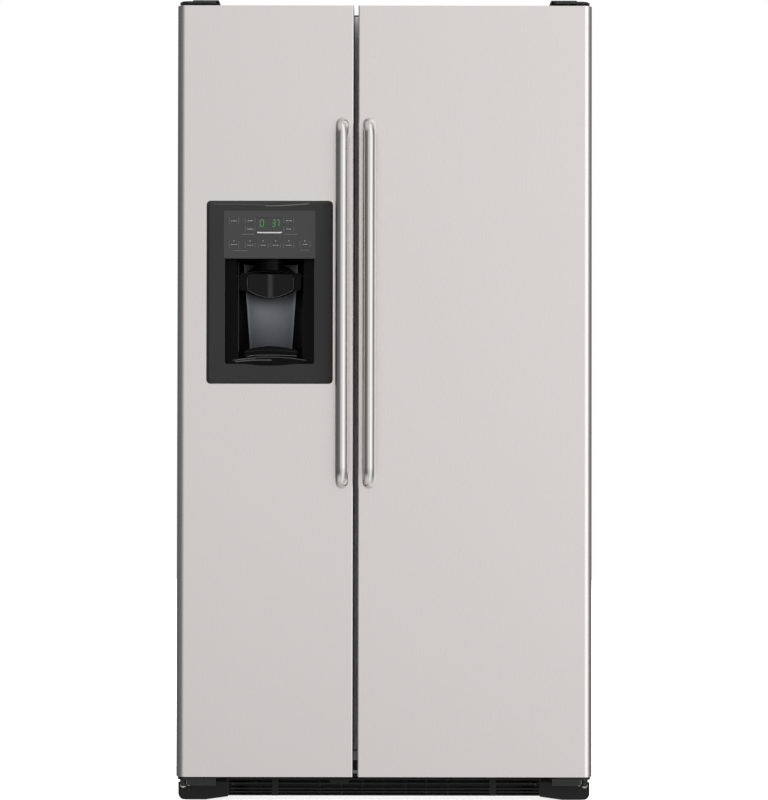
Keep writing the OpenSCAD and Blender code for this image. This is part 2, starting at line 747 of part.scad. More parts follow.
// Louvred cover over the machine compartment
module rear_cover() {
  z0 = case_z0 + 8;
  z1 = mech_z + 14;
  hw = case_hw - 10;
  color("dimgray") {
    difference() {
      union() {
        box([-hw, y_back, z0], [hw, y_back + 2, z1]);
        hull() {
          box([-hw + 14, y_back, z0 + 14], [hw - 14, y_back + 2, z1 - 22]);
          box([-hw + 22, y_back + 4, z0 + 22], [hw - 22, y_back + cover_out, z1 - 30]);
        }
      }
      box([-hw + 24, y_back - 1, z0 + 24], [hw - 24, y_back + cover_out - 2, z1 - 32]);
      for (i = [0 : 11], k = [0 : 3])
        translate([-hw + 60 + i * 30 + (i > 5 ? 2 * hw - 480 : 0), 0, z0 + 50 + k * 36])
          box([0, y_back - 1, 0], [20, y_back + cover_out + 1, 18]);
      rod_y([0, y_back - 1, z0 + 60], cover_out + 3, 12);
    }
  }
}

valve_z = case_z0 + 68;
inlet_r = 5.55;

// Solenoid valve with the water inlet behind the case
module water_valve() {
  color("white") {
    box([-26, y_back - 52, valve_z - 18], [26, y_back - 20, valve_z + 22]);
    rod_y([0, y_back - 21, valve_z], 21 + cover_out - 2, inlet_r);
    rod_y([0, y_back - 21, valve_z], 9, 9);
    for (s = [-1, 1]) rod_z([s * 14, y_back - 36, valve_z + 20], 34, 11);
  }
  color("gray") {
    box([-40, y_back - 50, comp_z0], [-30, y_back - 22, valve_z + 20]);
    box([-40, y_back - 50, valve_z - 10], [-25, y_back - 22, valve_z + 10]);
  }
}

// ---------------------------------------------------------------- evaporator and fan

// Finned coil at the back of the freezer
module evaporator_coil() {
  rows = 6;
  pitch = 50;
  x0 = fz_x0 + 5 + (pitch + coil_d) / 2;
  l = fz_in_x1 - fz_x0 - 10 - pitch - coil_d;
  color("silver") {
    for (k = [0 : 1]) translate([0, evap_y0 + 26 + 28 * k, step_z + 70]) rotate([90, 0, 0])
      serpentine([x0, 0, 0], l, rows, pitch, coil_d);
    for (i = [0 : 4]) box([x0 + 4 + i * (l - 10) / 4, evap_y0 + 12, step_z + 48],
                          [x0 + 5.5 + i * (l - 10) / 4, evap_y0 + 66, step_z + 92 + (rows - 1) * pitch]);
    for (i = [1, 3]) box([x0 + 4 + i * (l - 10) / 4, evap_y0 + 20, step_z + gap],
                         [x0 + 5.5 + i * (l - 10) / 4, evap_y0 + 50, step_z + 60]);
  }
}

// Cover with air slots, the fan's ring and its motor on two arms
module evaporator_cover() {
  z0 = step_z + gap;
  x0 = fz_x0 + gap;
  x1 = fz_in_x1 - gap;
  color("white") {
    difference() {
      along_y(evap_y0, evap_y0 + evap_cover_t) rrect(x0, x1, z0, evap_cover_z1, liner_r);
      for (z = [evap_cover_z1 - 110 : 16 : evap_cover_z1 - 40]) box([x0 + 40, evap_y0 - 1, z], [x1 - 40, evap_y0 + 9, z + 8]);
      for (z = [z0 + 20 : 14 : z0 + 62]) box([x0 + 30, evap_y0 - 1, z], [x1 - 30, evap_y0 + 9, z + 7]);
      for (r = [14 : 14 : fan_d / 2]) grille_ring(r);
    }
    for (a = [0, 60, 120]) translate([fz_mid_x, evap_y0 + 1.5, evap_fan_z]) rotate([0, a, 0])
      box([-fan_d / 2, -1.5, -2], [fan_d / 2, 1.5, 2]);
    along_y(evap_y0 + evap_cover_t, evap_y0 + 24) difference() {
      translate([fz_mid_x, evap_fan_z]) circle(fan_d / 2 + 6);
      translate([fz_mid_x, evap_fan_z]) circle(fan_d / 2 + 3);
    }
    box([x0, evap_y0 + 2, z0 + 80], [x0 + 3, y_wall - gap, evap_cover_z1 - 20]);
    box([x1 - 3, evap_y0 + 2, z0 + 80], [x1, y_wall - gap, evap_cover_z1 - 20]);
    box([x0, evap_y0 + 2, evap_cover_z1 - 20], [x1, y_wall - gap, evap_cover_z1 - 17]);
  }
  color("gray") {
    rod_y([fz_mid_x, evap_y0 + 34, evap_fan_z], 34, 22);
    for (s = [-1, 1]) {
      box([fz_mid_x + s * (fan_d / 2 + 5) - 3, evap_y0 + 20, evap_fan_z - 6], [fz_mid_x + s * (fan_d / 2 + 5) + 3, evap_y0 + 48, evap_fan_z + 6]);
      box([min(s * 18, s * (fan_d / 2 + 8)) + fz_mid_x, evap_y0 + 44, evap_fan_z - 6],
          [max(s * 18, s * (fan_d / 2 + 8)) + fz_mid_x, evap_y0 + 48, evap_fan_z + 6]);
    }
  }
}

// Ring slot of the fan grille
module grille_ring(r) {
  along_y(evap_y0 - 1, evap_y0 + evap_cover_t + 1) translate([fz_mid_x, evap_fan_z]) difference() {
    circle(r);
    circle(r - 9);
  }
}

module evaporator_fan() {
  color("lightgray") translate([fz_mid_x, evap_y0 + 6, evap_fan_z]) rotate([-90, 0, 0]) {
    fan_rotor(fan_d / 2 - 2, 16, 4);
    translate([0, 0, 15]) cylinder(h = 12.5, r = 3);
  }
}

// ---------------------------------------------------------------- ice maker

maker_x0 = fz_x0 + 60;
maker_x1 = fz_in_x1 - 70;
maker_y0 = bucket_y0 + 250;
maker_y1 = maker_y0 + 280;

// Mould with its motor head and hanger
module ice_maker() {
  h = 78;
  color("white") {
    difference() {
      box([maker_x0, maker_y0, maker_z0], [maker_x1, maker_y0 + 46, maker_z0 + h]);
      rod_y([maker_x1 + 4, maker_y0 + 23, maker_z0 + 20], 60, 8);
    }
    box([maker_x0, maker_y1 - 8, maker_z0 + 10], [maker_x1, maker_y1, maker_z0 + h]);
    box([maker_x0, maker_y0 + 10, maker_z0 + h - 4], [maker_x1 - 40, maker_y1, maker_z0 + h]);
    rod_z([maker_x0 + 30, maker_y1 - 20, maker_z0 + h - 10], roof_z - maker_z0 - h + 10, 9);
    for (x = [maker_x0 + 8, maker_x1 - 20]) box([x, maker_y0 + 20, maker_z0 + h - 6], [x + 12, maker_y0 + 40, roof_z]);
  }
  color("silver") difference() {
    intersection() {
      box([maker_x0 + 6, maker_y0 + 45, maker_z0 + 12], [maker_x1 - 20, maker_y1 - 4, maker_z0 + 60]);
      rod_y([(maker_x0 + maker_x1) / 2 - 7, maker_y0, maker_z0 + 70], 400, 60);
    }
    for (i = [0 : 5]) translate([0, maker_y0 + 52 + i * (maker_y1 - maker_y0 - 60) / 6, 0])
      intersection() {
        box([maker_x0 + 12, 0, maker_z0 + 18], [maker_x1 - 26, (maker_y1 - maker_y0 - 60) / 6 - 4, maker_z0 + 70]);
        rod_y([(maker_x0 + maker_x1) / 2 - 7, -1, maker_z0 + 72], 60, 54);
      }
  }
}

// Feeler arm that drops onto the ice and stops the maker when the bucket is full
module ice_maker_arm() {
  y = maker_y0 + 23;
  z = maker_z0 + 42;
  color("silver") {
    rod_x([maker_x1 + gap, y, z], 8, 6);
    wire_x([maker_x1 + 4, y, z], 10, 3.5);
    translate([maker_x1 + 12, y, z]) rotate([-118, 0, 0]) cylinder(h = 114, d = 3.5, $fn = 8);
    wire_y([maker_x1 + 12, y + 98, z - 53], 62, 3.5);
  }
}

bucket_x0 = fz_x0 + 3;
bucket_x1 = fz_in_x1 - 3;
outlet_y0 = bucket_y0 + 4;
outlet_d = 34;

// Ice bucket with the outlet over the door's chute
module ice_bucket() {
  color("lightblue") difference() {
    union() {
      tub([bucket_x0, bucket_y0, bucket_z0], [bucket_x1, bucket_y1, bucket_z1], 3);
      // trough that the auger turns in
      difference() {
        box([fz_mid_x - 46, bucket_y0 + 1, bucket_z0 + 1], [fz_mid_x + 46, bucket_y1 - 1, auger_z - 6]);
        rod_y([fz_mid_x, bucket_y0 - 1, auger_z], bucket_y1 - bucket_y0 + 2, 40);
      }
      // front grip
      box([bucket_x0 + 40, bucket_y0 + 2, bucket_z1 - 26], [bucket_x1 - 40, bucket_y0 + 22, bucket_z1 - 20]);
    }
    box([fz_mid_x - 28, outlet_y0, bucket_z0 - 1], [fz_mid_x + 28, outlet_y0 + outlet_d, auger_z - 4]);
    rod_y([fz_mid_x, bucket_y0 - 1, auger_z], 6, 5.3);
    rod_y([fz_mid_x, bucket_y1 - 5, auger_z], 6, 5.3);
  }
}

// Points of a ring of n points round the helix at turn angle a
function ring_pts(a, r, w, pitch, n) =
  [for (j = [0 : n - 1]) let (b = 360 * j / n)
    [(r + w * cos(b)) * cos(a), (r + w * cos(b)) * sin(a), pitch * a / 360 + w * sin(b)]];

// Helical wire of the given radius, wire radius, pitch and turns, along Z
module helix(r, w, pitch, turns) {
  n = 6;
  steps = 14 * turns;
  pts = [for (i = [0 : steps]) each ring_pts(360 * turns * i / steps, r, w, pitch, n)];
  sides = [for (i = [0 : steps - 1], j = [0 : n - 1]) let (k = (j + 1) % n)
    [i * n + k, (i + 1) * n + k, (i + 1) * n + j, i * n + j]];
  ends = [[for (j = [n - 1 : -1 : 0]) j], [for (j = [0 : n - 1]) steps * n + j]];
  polyhedron(points = pts, faces = concat(sides, ends), convexity = 8);
}

// Shaft and coiled wire that push the ice forward
module ice_auger() {
  y0 = bucket_y0 + 1;
  l = bucket_y1 - bucket_y0 - 2;
  turns = 6;
  color("silver") {
    rod_y([fz_mid_x, y0, auger_z], l, 5);
    translate([fz_mid_x, y0 + 50, auger_z]) rotate([-90, 0, 0]) {
      helix(31, 3.5, (l - 80) / turns, turns);
      for (z = [0, (l - 80)]) translate([0, 0, z]) rotate([0, 90, 0]) cylinder(h = 32, r = 3);
    }
  }
}

// ---------------------------------------------------------------- freezer compartment

// Grid of n + 1 upright bars and m + 1 level bars, d wide, in a rectangle of w by h
module grid(w, h, n, m, d) {
  px = (w - d) / n;
  py = (h - d) / m;
  difference() {
    square([w, h]);
    for (i = [0 : n - 1], j = [0 : m - 1]) translate([d + i * px, d + j * py]) square([px - d, py - d]);
  }
}

// Wire shelf with a turned-up front
module wire_shelf(z) {
  x0 = fz_x0 + 2;
  w = fz_in_x1 - fz_x0 - 4;
  l = evap_y0 - 24 - shelf_y0;
  n = floor(w / wire_pitch);
  translate([x0, shelf_y0, z - wire_d]) linear_extrude(wire_d) grid(w, l, n, 2, wire_d);
  translate([x0, shelf_y0 + wire_d, z - wire_d]) rotate([90, 0, 0]) linear_extrude(wire_d) grid(w, 26, floor(n / 3), 1, wire_d);
}

module wire_shelves() {
  color("white") for (z = fz_shelf_z) wire_shelf(z + wire_d);
}

// Sliding wire basket hung by its top frame
module wire_basket(z0, z1, y1) {
  x0 = fz_x0 + ledge_w + 6;
  x1 = fz_in_x1 - ledge_w - 6;
  y0 = drawer_y0;
  w = x1 - x0;
  h = z1 - z0;
  n = floor(w / (1.5 * wire_pitch));
  m = floor((y1 - y0) / (3 * wire_pitch));
  translate([x0, y0, z0]) linear_extrude(wire_d) grid(w, y1 - y0, n, 1, wire_d);
  for (y = [y0 + wire_d, y1]) translate([x0, y, z0]) rotate([90, 0, 0]) linear_extrude(wire_d) grid(w, h, n, 2, wire_d);
  for (x = [x0, x1 - wire_d]) translate([x, y0, z0]) rotate([90, 0, 90]) linear_extrude(wire_d) grid(y1 - y0, h, m, 2, wire_d);
  // side bars that run on the ledges
  for (x = [x0 - 12, x1 + 8]) box([x, y0, z1 - 5], [x + 4, y1 - 10, z1]);
  for (x = [x0 - 12, x1 - 1], y = [y0, y1 - 16]) box([x, y, z1 - 5], [x + 13, y + 6, z1]);
  // plastic front strip and grip
  box([fz_mid_x - 60, y0 - 5, z1 - 24], [fz_mid_x + 60, y0 + 1, z1 + 1]);
}

low_basket_z1 = 300;
top_basket_z0 = step_z + 20;
top_basket_z1 = 505;

module freezer_basket_lower() {
  color("white") wire_basket(floor_z + 14, low_basket_z1, step_y - 10);
}
module freezer_basket_upper() {
  color("white") wire_basket(top_basket_z0, top_basket_z1, evap_y0 - 24);
}

module lamp_covers() {
  color("ivory") {
    for (m = [[fz_mid_x, 46, bucket_y0 + 130, 90], [ff_mid_x, 80, shelf_y0 + 30, 110]]) difference() {
      hull() {
        box([m[0] - m[1], m[2], roof_z - 4], [m[0] + m[1], m[2] + m[3], roof_z - gap]);
        box([m[0] - m[1] + 8, m[2] + 8, roof_z - 16], [m[0] + m[1] - 8, m[2] + m[3] - 8, roof_z - 4]);
      }
      box([m[0] - m[1] + 10, m[2] + 10, roof_z - 14], [m[0] + m[1] - 10, m[2] + m[3] - 10, roof_z + 1]);
    }
  }
}

// ---------------------------------------------------------------- fresh food compartment

shelf_x0 = ff_in_x0 + 8;
shelf_x1 = ff_x1 - 8;
track_dx = 130;

module shelf_glass() {
  color("lightcyan") {
    for (z = ff_shelf_z) box([shelf_x0 + 4, shelf_y0 + 4, z], [shelf_x1 - 4, shelf_y1 - 24, z + glass_t]);
    box([ff_in_x0 + 10, drawer_y0 + 20, crisper_cover_z + 4], [ff_x1 - 10, y_wall - 30, crisper_cover_z + 4 + glass_t]);
  }
}

// Slotted tracks on the back wall, and each shelf's frame on two cantilever arms
module shelf_frames() {
  track_z0 = 560;
  track_z1 = roof_z - 60;
  slots = floor((track_z1 - track_z0 - 20) / 30);
  color("white") {
    for (s = [-1, 1]) {
      x = ff_mid_x + s * track_dx;
      difference() {
        box([x - 11, y_wall - 12, track_z0], [x + 11, y_wall - gap, track_z1]);
        for (i = [0 : slots]) box([x - 2, y_wall - 13, track_z0 + 8 + i * 30], [x + 2, y_wall - 4, track_z0 + 22 + i * 30]);
      }
      for (z = ff_shelf_z) translate([x - 1.25, 0, 0]) rotate([90, 0, 90]) linear_extrude(2.5)
        polygon([[shelf_y0 + 60, z - 8], [shelf_y0 + 60, z - 12], [y_wall - 20, z - 44], [y_wall - 11, z - 44], [y_wall - 11, z - 8]]);
    }
    for (z = ff_shelf_z) difference() {
      along_z(z - 9, z + glass_t + 3) rrect(shelf_x0, shelf_x1, shelf_y0, shelf_y1 - 20, 6);
      box([shelf_x0 + 4 - 0.05, shelf_y0 + 4 - 0.05, z], [shelf_x1 - 4 + 0.05, shelf_y1 - 24 + 0.05, z + glass_t + 4]);
      along_z(z - 10, z + 5) rrect(shelf_x0 + 16, shelf_x1 - 16, shelf_y0 + 22, shelf_y1 - 36, 10);
    }
    // runners of the pan under the lowest shelf
    for (x = [deli_x0 - 7, deli_x1 + 1]) difference() {
      box([x, shelf_y0 + 10, deli_z1 - 16], [x + 6, shelf_y0 + 260, ff_shelf_z[0] - 8]);
      box([x > ff_mid_x ? x - 1 : x + 2, shelf_y0 + 9, deli_z1 - 14], [x > ff_mid_x ? x + 4 : x + 7, shelf_y0 + 261, ff_shelf_z[0] - 12]);
    }
  }
}

// Frame that holds the crisper drawers: side plates, runners and the front rail
module crisper_cover() {
  y0 = drawer_y0 + 12;
  color("white") {
    for (m = [[ff_in_x0 + 1, 1], [ff_x1 - 1, -1]]) {
      box([min(m[0], m[0] + m[1] * 4), y0, floor_z + 12], [max(m[0], m[0] + m[1] * 4), step_y - 6, crisper_cover_z]);
      box([min(m[0], m[0] + m[1] * 4), y0, step_z + 12], [max(m[0], m[0] + m[1] * 4), y_wall - 20, crisper_cover_z]);
      // feet that stand on the liner floor inside its corner radius
      for (y = [y0 + 10, step_y - 66]) {
        box([min(m[0], m[0] + m[1] * 11), y, floor_z + 12], [max(m[0], m[0] + m[1] * 11), y + 50, floor_z + 16]);
        box([min(m[0] + m[1] * 8, m[0] + m[1] * 11), y, floor_z + 1.9], [max(m[0] + m[1] * 8, m[0] + m[1] * 11), y + 50, floor_z + 16]);
      }
      for (r = [[crisper_low_z1 - 8, step_y - 6], [crisper_up_z1 - 8, y_wall - 20]])
        box([min(m[0], m[0] + m[1] * 11), y0, r[0]], [max(m[0], m[0] + m[1] * 11), r[1], r[0] + 3]);
    }
    difference() {
      along_z(crisper_cover_z, crisper_cover_z + 4 + glass_t) rrect(ff_in_x0 + 1, ff_x1 - 1, drawer_y0 + 4, y_wall - 20, 5);
      box([ff_in_x0 + 10 - 0.05, drawer_y0 + 20 - 0.05, crisper_cover_z + 4], [ff_x1 - 10 + 0.05, y_wall - 30 + 0.05, 600]);
      box([ff_in_x0 + 20, drawer_y0 + 34, crisper_cover_z - 1], [ff_x1 - 20, y_wall - 40, 600]);
    }
    difference() {
      box([ff_in_x0 + 1, drawer_y0 - 2, crisper_up_z1 + 4], [ff_x1 - 1, drawer_y0 + 8, crisper_cover_z + 4 + glass_t]);
      box([slider_x - 32, drawer_y0 - 3, slider_z - 3], [slider_x + 62, drawer_y0 + 9, slider_z + 3]);
    }
  }
}

crisper_low_z1 = 300;
crisper_up_z0 = step_z + 20;
crisper_up_z1 = 478;
slider_x = ff_mid_x - 20;
slider_z = (crisper_up_z1 + 4 + crisper_cover_z + 4 + glass_t) / 2;

// Clear drawer with a front panel, a grip and rims that run on the ledges
module crisper(z0, z1, y1) {
  x0 = ff_in_x0 + 13;
  x1 = ff_x1 - 13;
  tub([x0, drawer_y0 + 3, z0], [x1, y1, z1], bin_t);
  for (m = [[x0 + 1, x0 - 6.5], [x1 - 1, x1 + 6.5]])
    box([min(m[0], m[1]), drawer_y0 + 4, z1 - 5 + gap], [max(m[0], m[1]), y1 - 6, z1 - 2]);
  difference() {
    along_y(drawer_y0, drawer_y0 + 5) rrect(ff_in_x0 + 3, ff_x1 - 3, z0 - 4, z1 + 2, 7);
    along_y(drawer_y0 + 2.5, drawer_y0 + 3) rrect(ff_in_x0 + 3, ff_x1 - 3, z0 - 4, z1 - 60, 7);
  }
  // turned-out grip
  difference() {
    rod_x([ff_mid_x - 80, drawer_y0 + 2, z1 - 26], 160, 14);
    rod_x([ff_mid_x - 77, drawer_y0 + 2, z1 - 26], 154, 11);
    box([ff_mid_x - 81, drawer_y0 + 2, z1 - 60], [ff_mid_x + 81, drawer_y0 + 40, z1]);
    box([ff_mid_x - 81, drawer_y0 - 20, z1 - 60], [ff_mid_x + 81, drawer_y0 + 40, z1 - 26]);
  }
}
module crisper_lower() {
  color("lightcyan") crisper(floor_z + 12, crisper_low_z1, step_y - 12);
}
module crisper_upper() {
  color("lightcyan") crisper(crisper_up_z0, crisper_up_z1, y_wall - 30);
}

module humidity_slider() {
  color("gray") {
    along_y(drawer_y0 - 10, drawer_y0 - 2 - gap) rrect(slider_x - 30, slider_x - 6, slider_z - 6, slider_z + 6, 4);
    for (i = [0 : 3]) box([slider_x - 26 + 5 * i, drawer_y0 - 11, slider_z - 4], [slider_x - 25 + 5 * i, drawer_y0 - 9, slider_z + 4]);
    box([slider_x - 24, drawer_y0 - 4, slider_z - 2.5], [slider_x - 12, drawer_y0 + 8 + gap, slider_z + 2.5]);
    box([slider_x - 24, drawer_y0 + 8 + gap, slider_z - 4.5], [slider_x - 12, drawer_y0 + 10, slider_z + 4.5]);
  }
}

deli_x0 = ff_in_x0 + 60;
deli_x1 = deli_x0 + 270;
deli_z1 = ff_shelf_z[0] - 38;

// Shallow pan that slides under the lowest shelf
module deli_pan() {
  color("lightcyan") {
    tub([deli_x0 + 3, shelf_y0 + 6, deli_z1 - 92], [deli_x1 - 3, shelf_y0 + 290, deli_z1], bin_t);
    for (m = [[deli_x0 + 4, deli_x0 - 4.5], [deli_x1 - 4, deli_x1 + 4.5]])
      box([min(m[0], m[1]), shelf_y0 + 14, deli_z1 - 8], [max(m[0], m[1]), shelf_y0 + 256, deli_z1 - 5]);
    along_y(shelf_y0 + 2, shelf_y0 + 7) rrect(deli_x0 - 8, deli_x1 + 8, deli_z1 - 96, deli_z1 + 2, 6);
    box([deli_x0 + 60, shelf_y0 - 8, deli_z1 - 22], [deli_x1 - 60, shelf_y0 + 3, deli_z1 - 18]);
  }
}

filter_x = ff_x1 - 54;
filter_y = y_wall - 62;
filter_r = 33;
filter_z1 = roof_z - 58;

// Cartridge that turns out of the head in the roof corner
module water_filter() {
  l = 182;
  color("white") translate([filter_x, filter_y, filter_z1 - l]) {
    difference() {
      rotate_extrude() polygon([[0, 0], [filter_r - 6, 0], [filter_r - 2, 3], [filter_r - 2, 34], [filter_r, 38], [filter_r, l - 24],
        [filter_r - 8, l - 14], [filter_r - 14, l - 12], [filter_r - 14, l], [0, l]]);
      for (a = [0 : 30 : 330]) rotate(a) rod_z([filter_r, 0, -1], 32, 4);
    }
    for (s = [0, 180]) rotate(s) box([filter_r - 16, -5, l - 10], [filter_r - 9, 5, l - 4]);
  }
}

// Filter head moulded to the roof of the fresh food liner
module filter_head() {
  translate([filter_x, filter_y, 0]) difference() {
    along_z(filter_z1 - 14, roof_z + 1) circle(filter_r + 5);
    along_z(filter_z1 - 15, filter_z1 + gap) circle(filter_r - 6);
    along_z(filter_z1 - 15, filter_z1 - 13) circle(filter_r + 1);
  }
}

// ---------------------------------------------------------------- doors

// Door outline from above, with round front corners of radius ra at x0 and rb at x1
module door_plan(x0, x1, y0, y1, ra, rb) {
  translate([x0 + ra, y0]) square([x1 - x0 - ra - rb, y1 - y0]);
  translate([x0, y0 + ra]) square([ra + 1, y1 - y0 - ra]);
  translate([x1 - rb - 1, y0 + rb]) square([rb + 1, y1 - y0 - rb]);
  translate([x0 + ra, y0 + ra]) circle(ra);
  translate([x1 - rb, y0 + rb]) circle(rb);
}

liner_flange = 3;

// Folded stainless skin, open at the back
module door_skin(x0, x1, ra, rb) {
  t = sheet_t;
  along_z(door_z0, door_z1) difference() {
    door_plan(x0, x1, y_door, y_dback - liner_flange - gap, ra, rb);
    door_plan(x0 + t, x1 - t, y_door + t, y_dback, ra - t, rb - t);
  }
}

// Foamed core with its liner face: back flange and raised rim
module door_core(x0, x1, ra, rb, rx0, rx1) {
  t = sheet_t;
  along_z(door_z0 + cap_t, door_z1 - cap_t)
    door_plan(x0 + t, x1 - t, y_door + t, y_dback - 1, ra - t, rb - t);
  along_y(y_dback - liner_flange, y_dback) rrect(x0, x1, door_z0, door_z1, 4);
  ring_y(rx0, rx1, rim_z0, rim_z1, rim_w, y_dback - 1, y_dback + rim_d - 4, 16);
  ring_y(rx0 + 3, rx1 - 3, rim_z0 + 3, rim_z1 - 3, rim_w - 6, y_dback + 1, y_dback + rim_d, 14);
}

// End caps, each bored for its hinge pin at pin x
module door_caps(x0, x1, ra, rb, px) {
  t = sheet_t;
  for (z = [door_z0, door_z1 - cap_t]) difference() {
    along_z(z, z + cap_t) door_plan(x0 + t, x1 - t, y_door + t, y_dback - liner_flange, ra - t, rb - t);
    rod_z([px, pin_y, z - 1], cap_t + 2, pin_r + pin_play);
    // cored-out tray on the inner half of the cap
    box([px > 0 ? x0 + 20 : px + 40, y_door + 16, z == door_z0 ? z - 1 : z + 4],
        [px > 0 ? px - 40 : x1 - 20, y_dback - 14, z == door_z0 ? z + cap_t - 4 : z + cap_t + 1]);
  }
}

// Seal: a dart strip, a bellows and a magnet strip
module door_seal(x0, x1) {
  z0 = door_z0 + 20;
  z1 = door_z1 - 16;
  y1 = y_case - gap;
  ring_y(x0, x1, z0, z1, seal_w, y_dback, y_dback + 3, 8);
  ring_y(x0 + 5, x1 - 5, z0 + 5, z1 - 5, seal_w - 10, y_dback + 2, y1 - 3, 6);
  ring_y(x0 + 1, x1 - 1, z0 + 1, z1 - 1, seal_w - 3, y1 - 4, y1, 8);
}

// Round bar bent back into the door at both ends
module handle(x) {
  yc = y_door - handle_out + handle_r;
  b = handle_bend;
  z0 = handle_z0 + handle_r;
  z1 = handle_z0 + handle_l - handle_r;
  rod_z([x, yc, z0 + b], z1 - z0 - 2 * b, handle_r);
  for (m = [[z0, 1], [z1, -1]]) {
    rod_y([x, yc + b, m[0]], y_door - yc - b, handle_r);
    translate([x, yc + b, m[0] + m[1] * b]) rotate([0, 90, 0])
      mirror([m[1] > 0 ? 0 : 1, 0, 0]) rotate([0, 0, 270]) rotate_extrude(angle = 90)
        translate([b, 0]) circle(handle_r);
  }
}

// Door bin: a tub with a lower back and a thick front lip
module door_bin(x0, x1, z, d) {
  y0 = y_dback + gap;
  tub([x0, y0, z], [x1, y0 + d, z + bin_h], bin_t);
  box([x0 + 6, y0 + d - bin_t, z + bin_h - 10], [x1 - 6, y0 + d + 3, z + bin_h]);
}

fz_bin_x0 = fz_rim_x0 + rim_w + gap;
fz_bin_x1 = fz_rim_x1 - rim_w - gap;
ff_bin_x0 = ff_rim_x0 + rim_w + gap;
ff_bin_x1 = ff_rim_x1 - rim_w - gap;

// ---------------------------------------------------------------- freezer door

module freezer_door_skin() {
  color("silver") difference() {
    door_skin(-half_w, fz_x1, door_r, door_gap_r);
    box([bez_x0 + bezel_lap, y_door - 1, bezel_z0 + bezel_lap], [bez_x1 - bezel_lap, y_door + 3, bez_z1 - bezel_lap]);
  }
}

// Slanted passage of the ice chute, grown by e
module chute_space(e) {
  translate([bez_x, chute_low_y, rec_z1]) rotate([-chute_a, 0, 0])
    box([-chute_w / 2 - e, -chute_d / 2 - e, -60], [chute_w / 2 + e, chute_d / 2 + e, 260]);
}

// Room for the dispenser housing inside the door, grown by e
module housing_room(e) {
  w = recess_w / 2 + housing_t + e;
  box([bez_x - w, y_door - 1, rec_z0 - 14], [bez_x + w, y_door + wing_d + housing_t + e, bez_z1 - bezel_lap - 4]);
  translate([bez_x, alcove_y, rec_z0 - 14]) cylinder(h = recess_h + 14 + housing_t + e, r = alcove_r + housing_t + e);
}

module freezer_door_liner() {
  color("white") difference() {
    union() {
      door_core(-half_w, fz_x1, door_r, door_gap_r, fz_rim_x0, fz_rim_x1);
      along_y(y_dback - 1, y_dback + bulge_d) rrect(bulge_x0, bulge_x1, bulge_z0, bulge_z1, 12);
    }
    housing_room(gap);
    // shallow seat behind the bezel's collar
    box([bez_x0 + bezel_lap, y_door - 1, bezel_z0 + bezel_lap],
        [bez_x1 - bezel_lap, y_door + collar_d + gap, bez_z1 - bezel_lap]);
    intersection() {
      chute_space(housing_t + gap);
      box([-half_w, y_door + 8, rec_z1 - 30], [half_w, y_wall, bulge_z1 + 40]);
    }
    // electronics pocket behind the control panel
    box([bez_x - 90, y_door - 1, rec_z1 + 6], [bez_x + 90, y_door + 22, bez_z1 - 24]);
  }
}

module freezer_door_caps() {
  color("dimgray") door_caps(-half_w, fz_x1, door_r, door_gap_r, -pin_x);
}

module freezer_seal() {
  color("dimgray") door_seal(-half_w + seal_in, fz_x1 - seal_gap_in);
}

module freezer_handle() {
  color("silver") handle(fz_x1 - handle_in);
}

module freezer_door_bins() {
  color("lightcyan") for (i = [0 : 3])
    door_bin(fz_bin_x0, fz_bin_x1, fz_bin_z[i], i < 2 ? bin_shallow : bin_deep - 5);
}

// Lower edge of the recess: the arc under the drip tray
module sill_arc(e) {
  intersection() {
    translate([bez_x, tray_z - lens_h + lens_r]) circle(lens_r + e, $fn = 360);
    translate([bez_x - lens_hw - 4, tray_z - lens_h - e]) square([2 * lens_hw + 8, 40]);
  }
}

// Charcoal frame with bevelled edges, the recess opening and the panel's seat
module dispenser_bezel() {
  w = recess_w / 2;
  color("dimgray") difference() {
    union() {
      hull() {
        along_y(y_door - 2, y_door) rrect(bez_x0, bez_x1, bezel_z0, bez_z1, 9, $fn = 32);
        along_y(bez_y, bez_y + 1) rrect(bez_x0 + 7, bez_x1 - 7, bezel_z0 + 7, bez_z1 - 7, 6, $fn = 32);
      }
      along_y(y_door - 1, y_door + collar_d) difference() {
        rrect(bez_x0 + bezel_lap + gap, bez_x1 - bezel_lap - gap, bezel_z0 + bezel_lap + gap, bez_z1 - bezel_lap - gap, 3);
        rrect(bez_x0 + bezel_lap + 4, bez_x1 - bezel_lap - 4, bezel_z0 + bezel_lap + 4, bez_z1 - bezel_lap - 4, 3);
      }
    }
    along_y(bez_y - 1, y_door + 11) {
      rrect(bez_x - w, bez_x + w, rec_z0, rec_z1 + 3, 4);
      sill_arc(0);
    }
    along_y(bez_y - 1, bez_y + 3) rrect(bez_x - w - 3, bez_x + w + 3, rec_z1, rec_z1 + panel_h, 3);
    along_y(bez_y - 1, y_door + 11) rrect(bez_x - 80, bez_x + 80, rec_z1 + 12, rec_z1 + panel_h - 12, 3);
  }
}

// Open space of the recess, grown by e: front bay, tapered alcove and sill
module recess_space(e) {
  w = recess_w / 2 + e;
  along_y(y_door - 1, y_door + wing_d + e) {
    rrect(bez_x - w, bez_x + w, rec_z0 - e, rec_z1 + e, 4);
    sill_arc(e);
  }
  // seat of the drip tray in the alcove's floor
  intersection() {
    along_y(y_door + wing_d - 1, y_door + wing_d + 22 + e) sill_arc(e);
    translate([bez_x, alcove_y, rec_z0 - 20]) cylinder(h = 60, r = alcove_r - 4 + e);
  }
  intersection() {
    translate([bez_x, alcove_y, rec_z0 - e]) cylinder(h = recess_h + 2 * e, r1 = alcove_r - 4 + e, r2 = alcove_r + e);
    box([bez_x - 120, y_door + wing_d - 1, rec_z0 - e], [bez_x + 120, y_door + 120, rec_z1 + e]);
  }
}

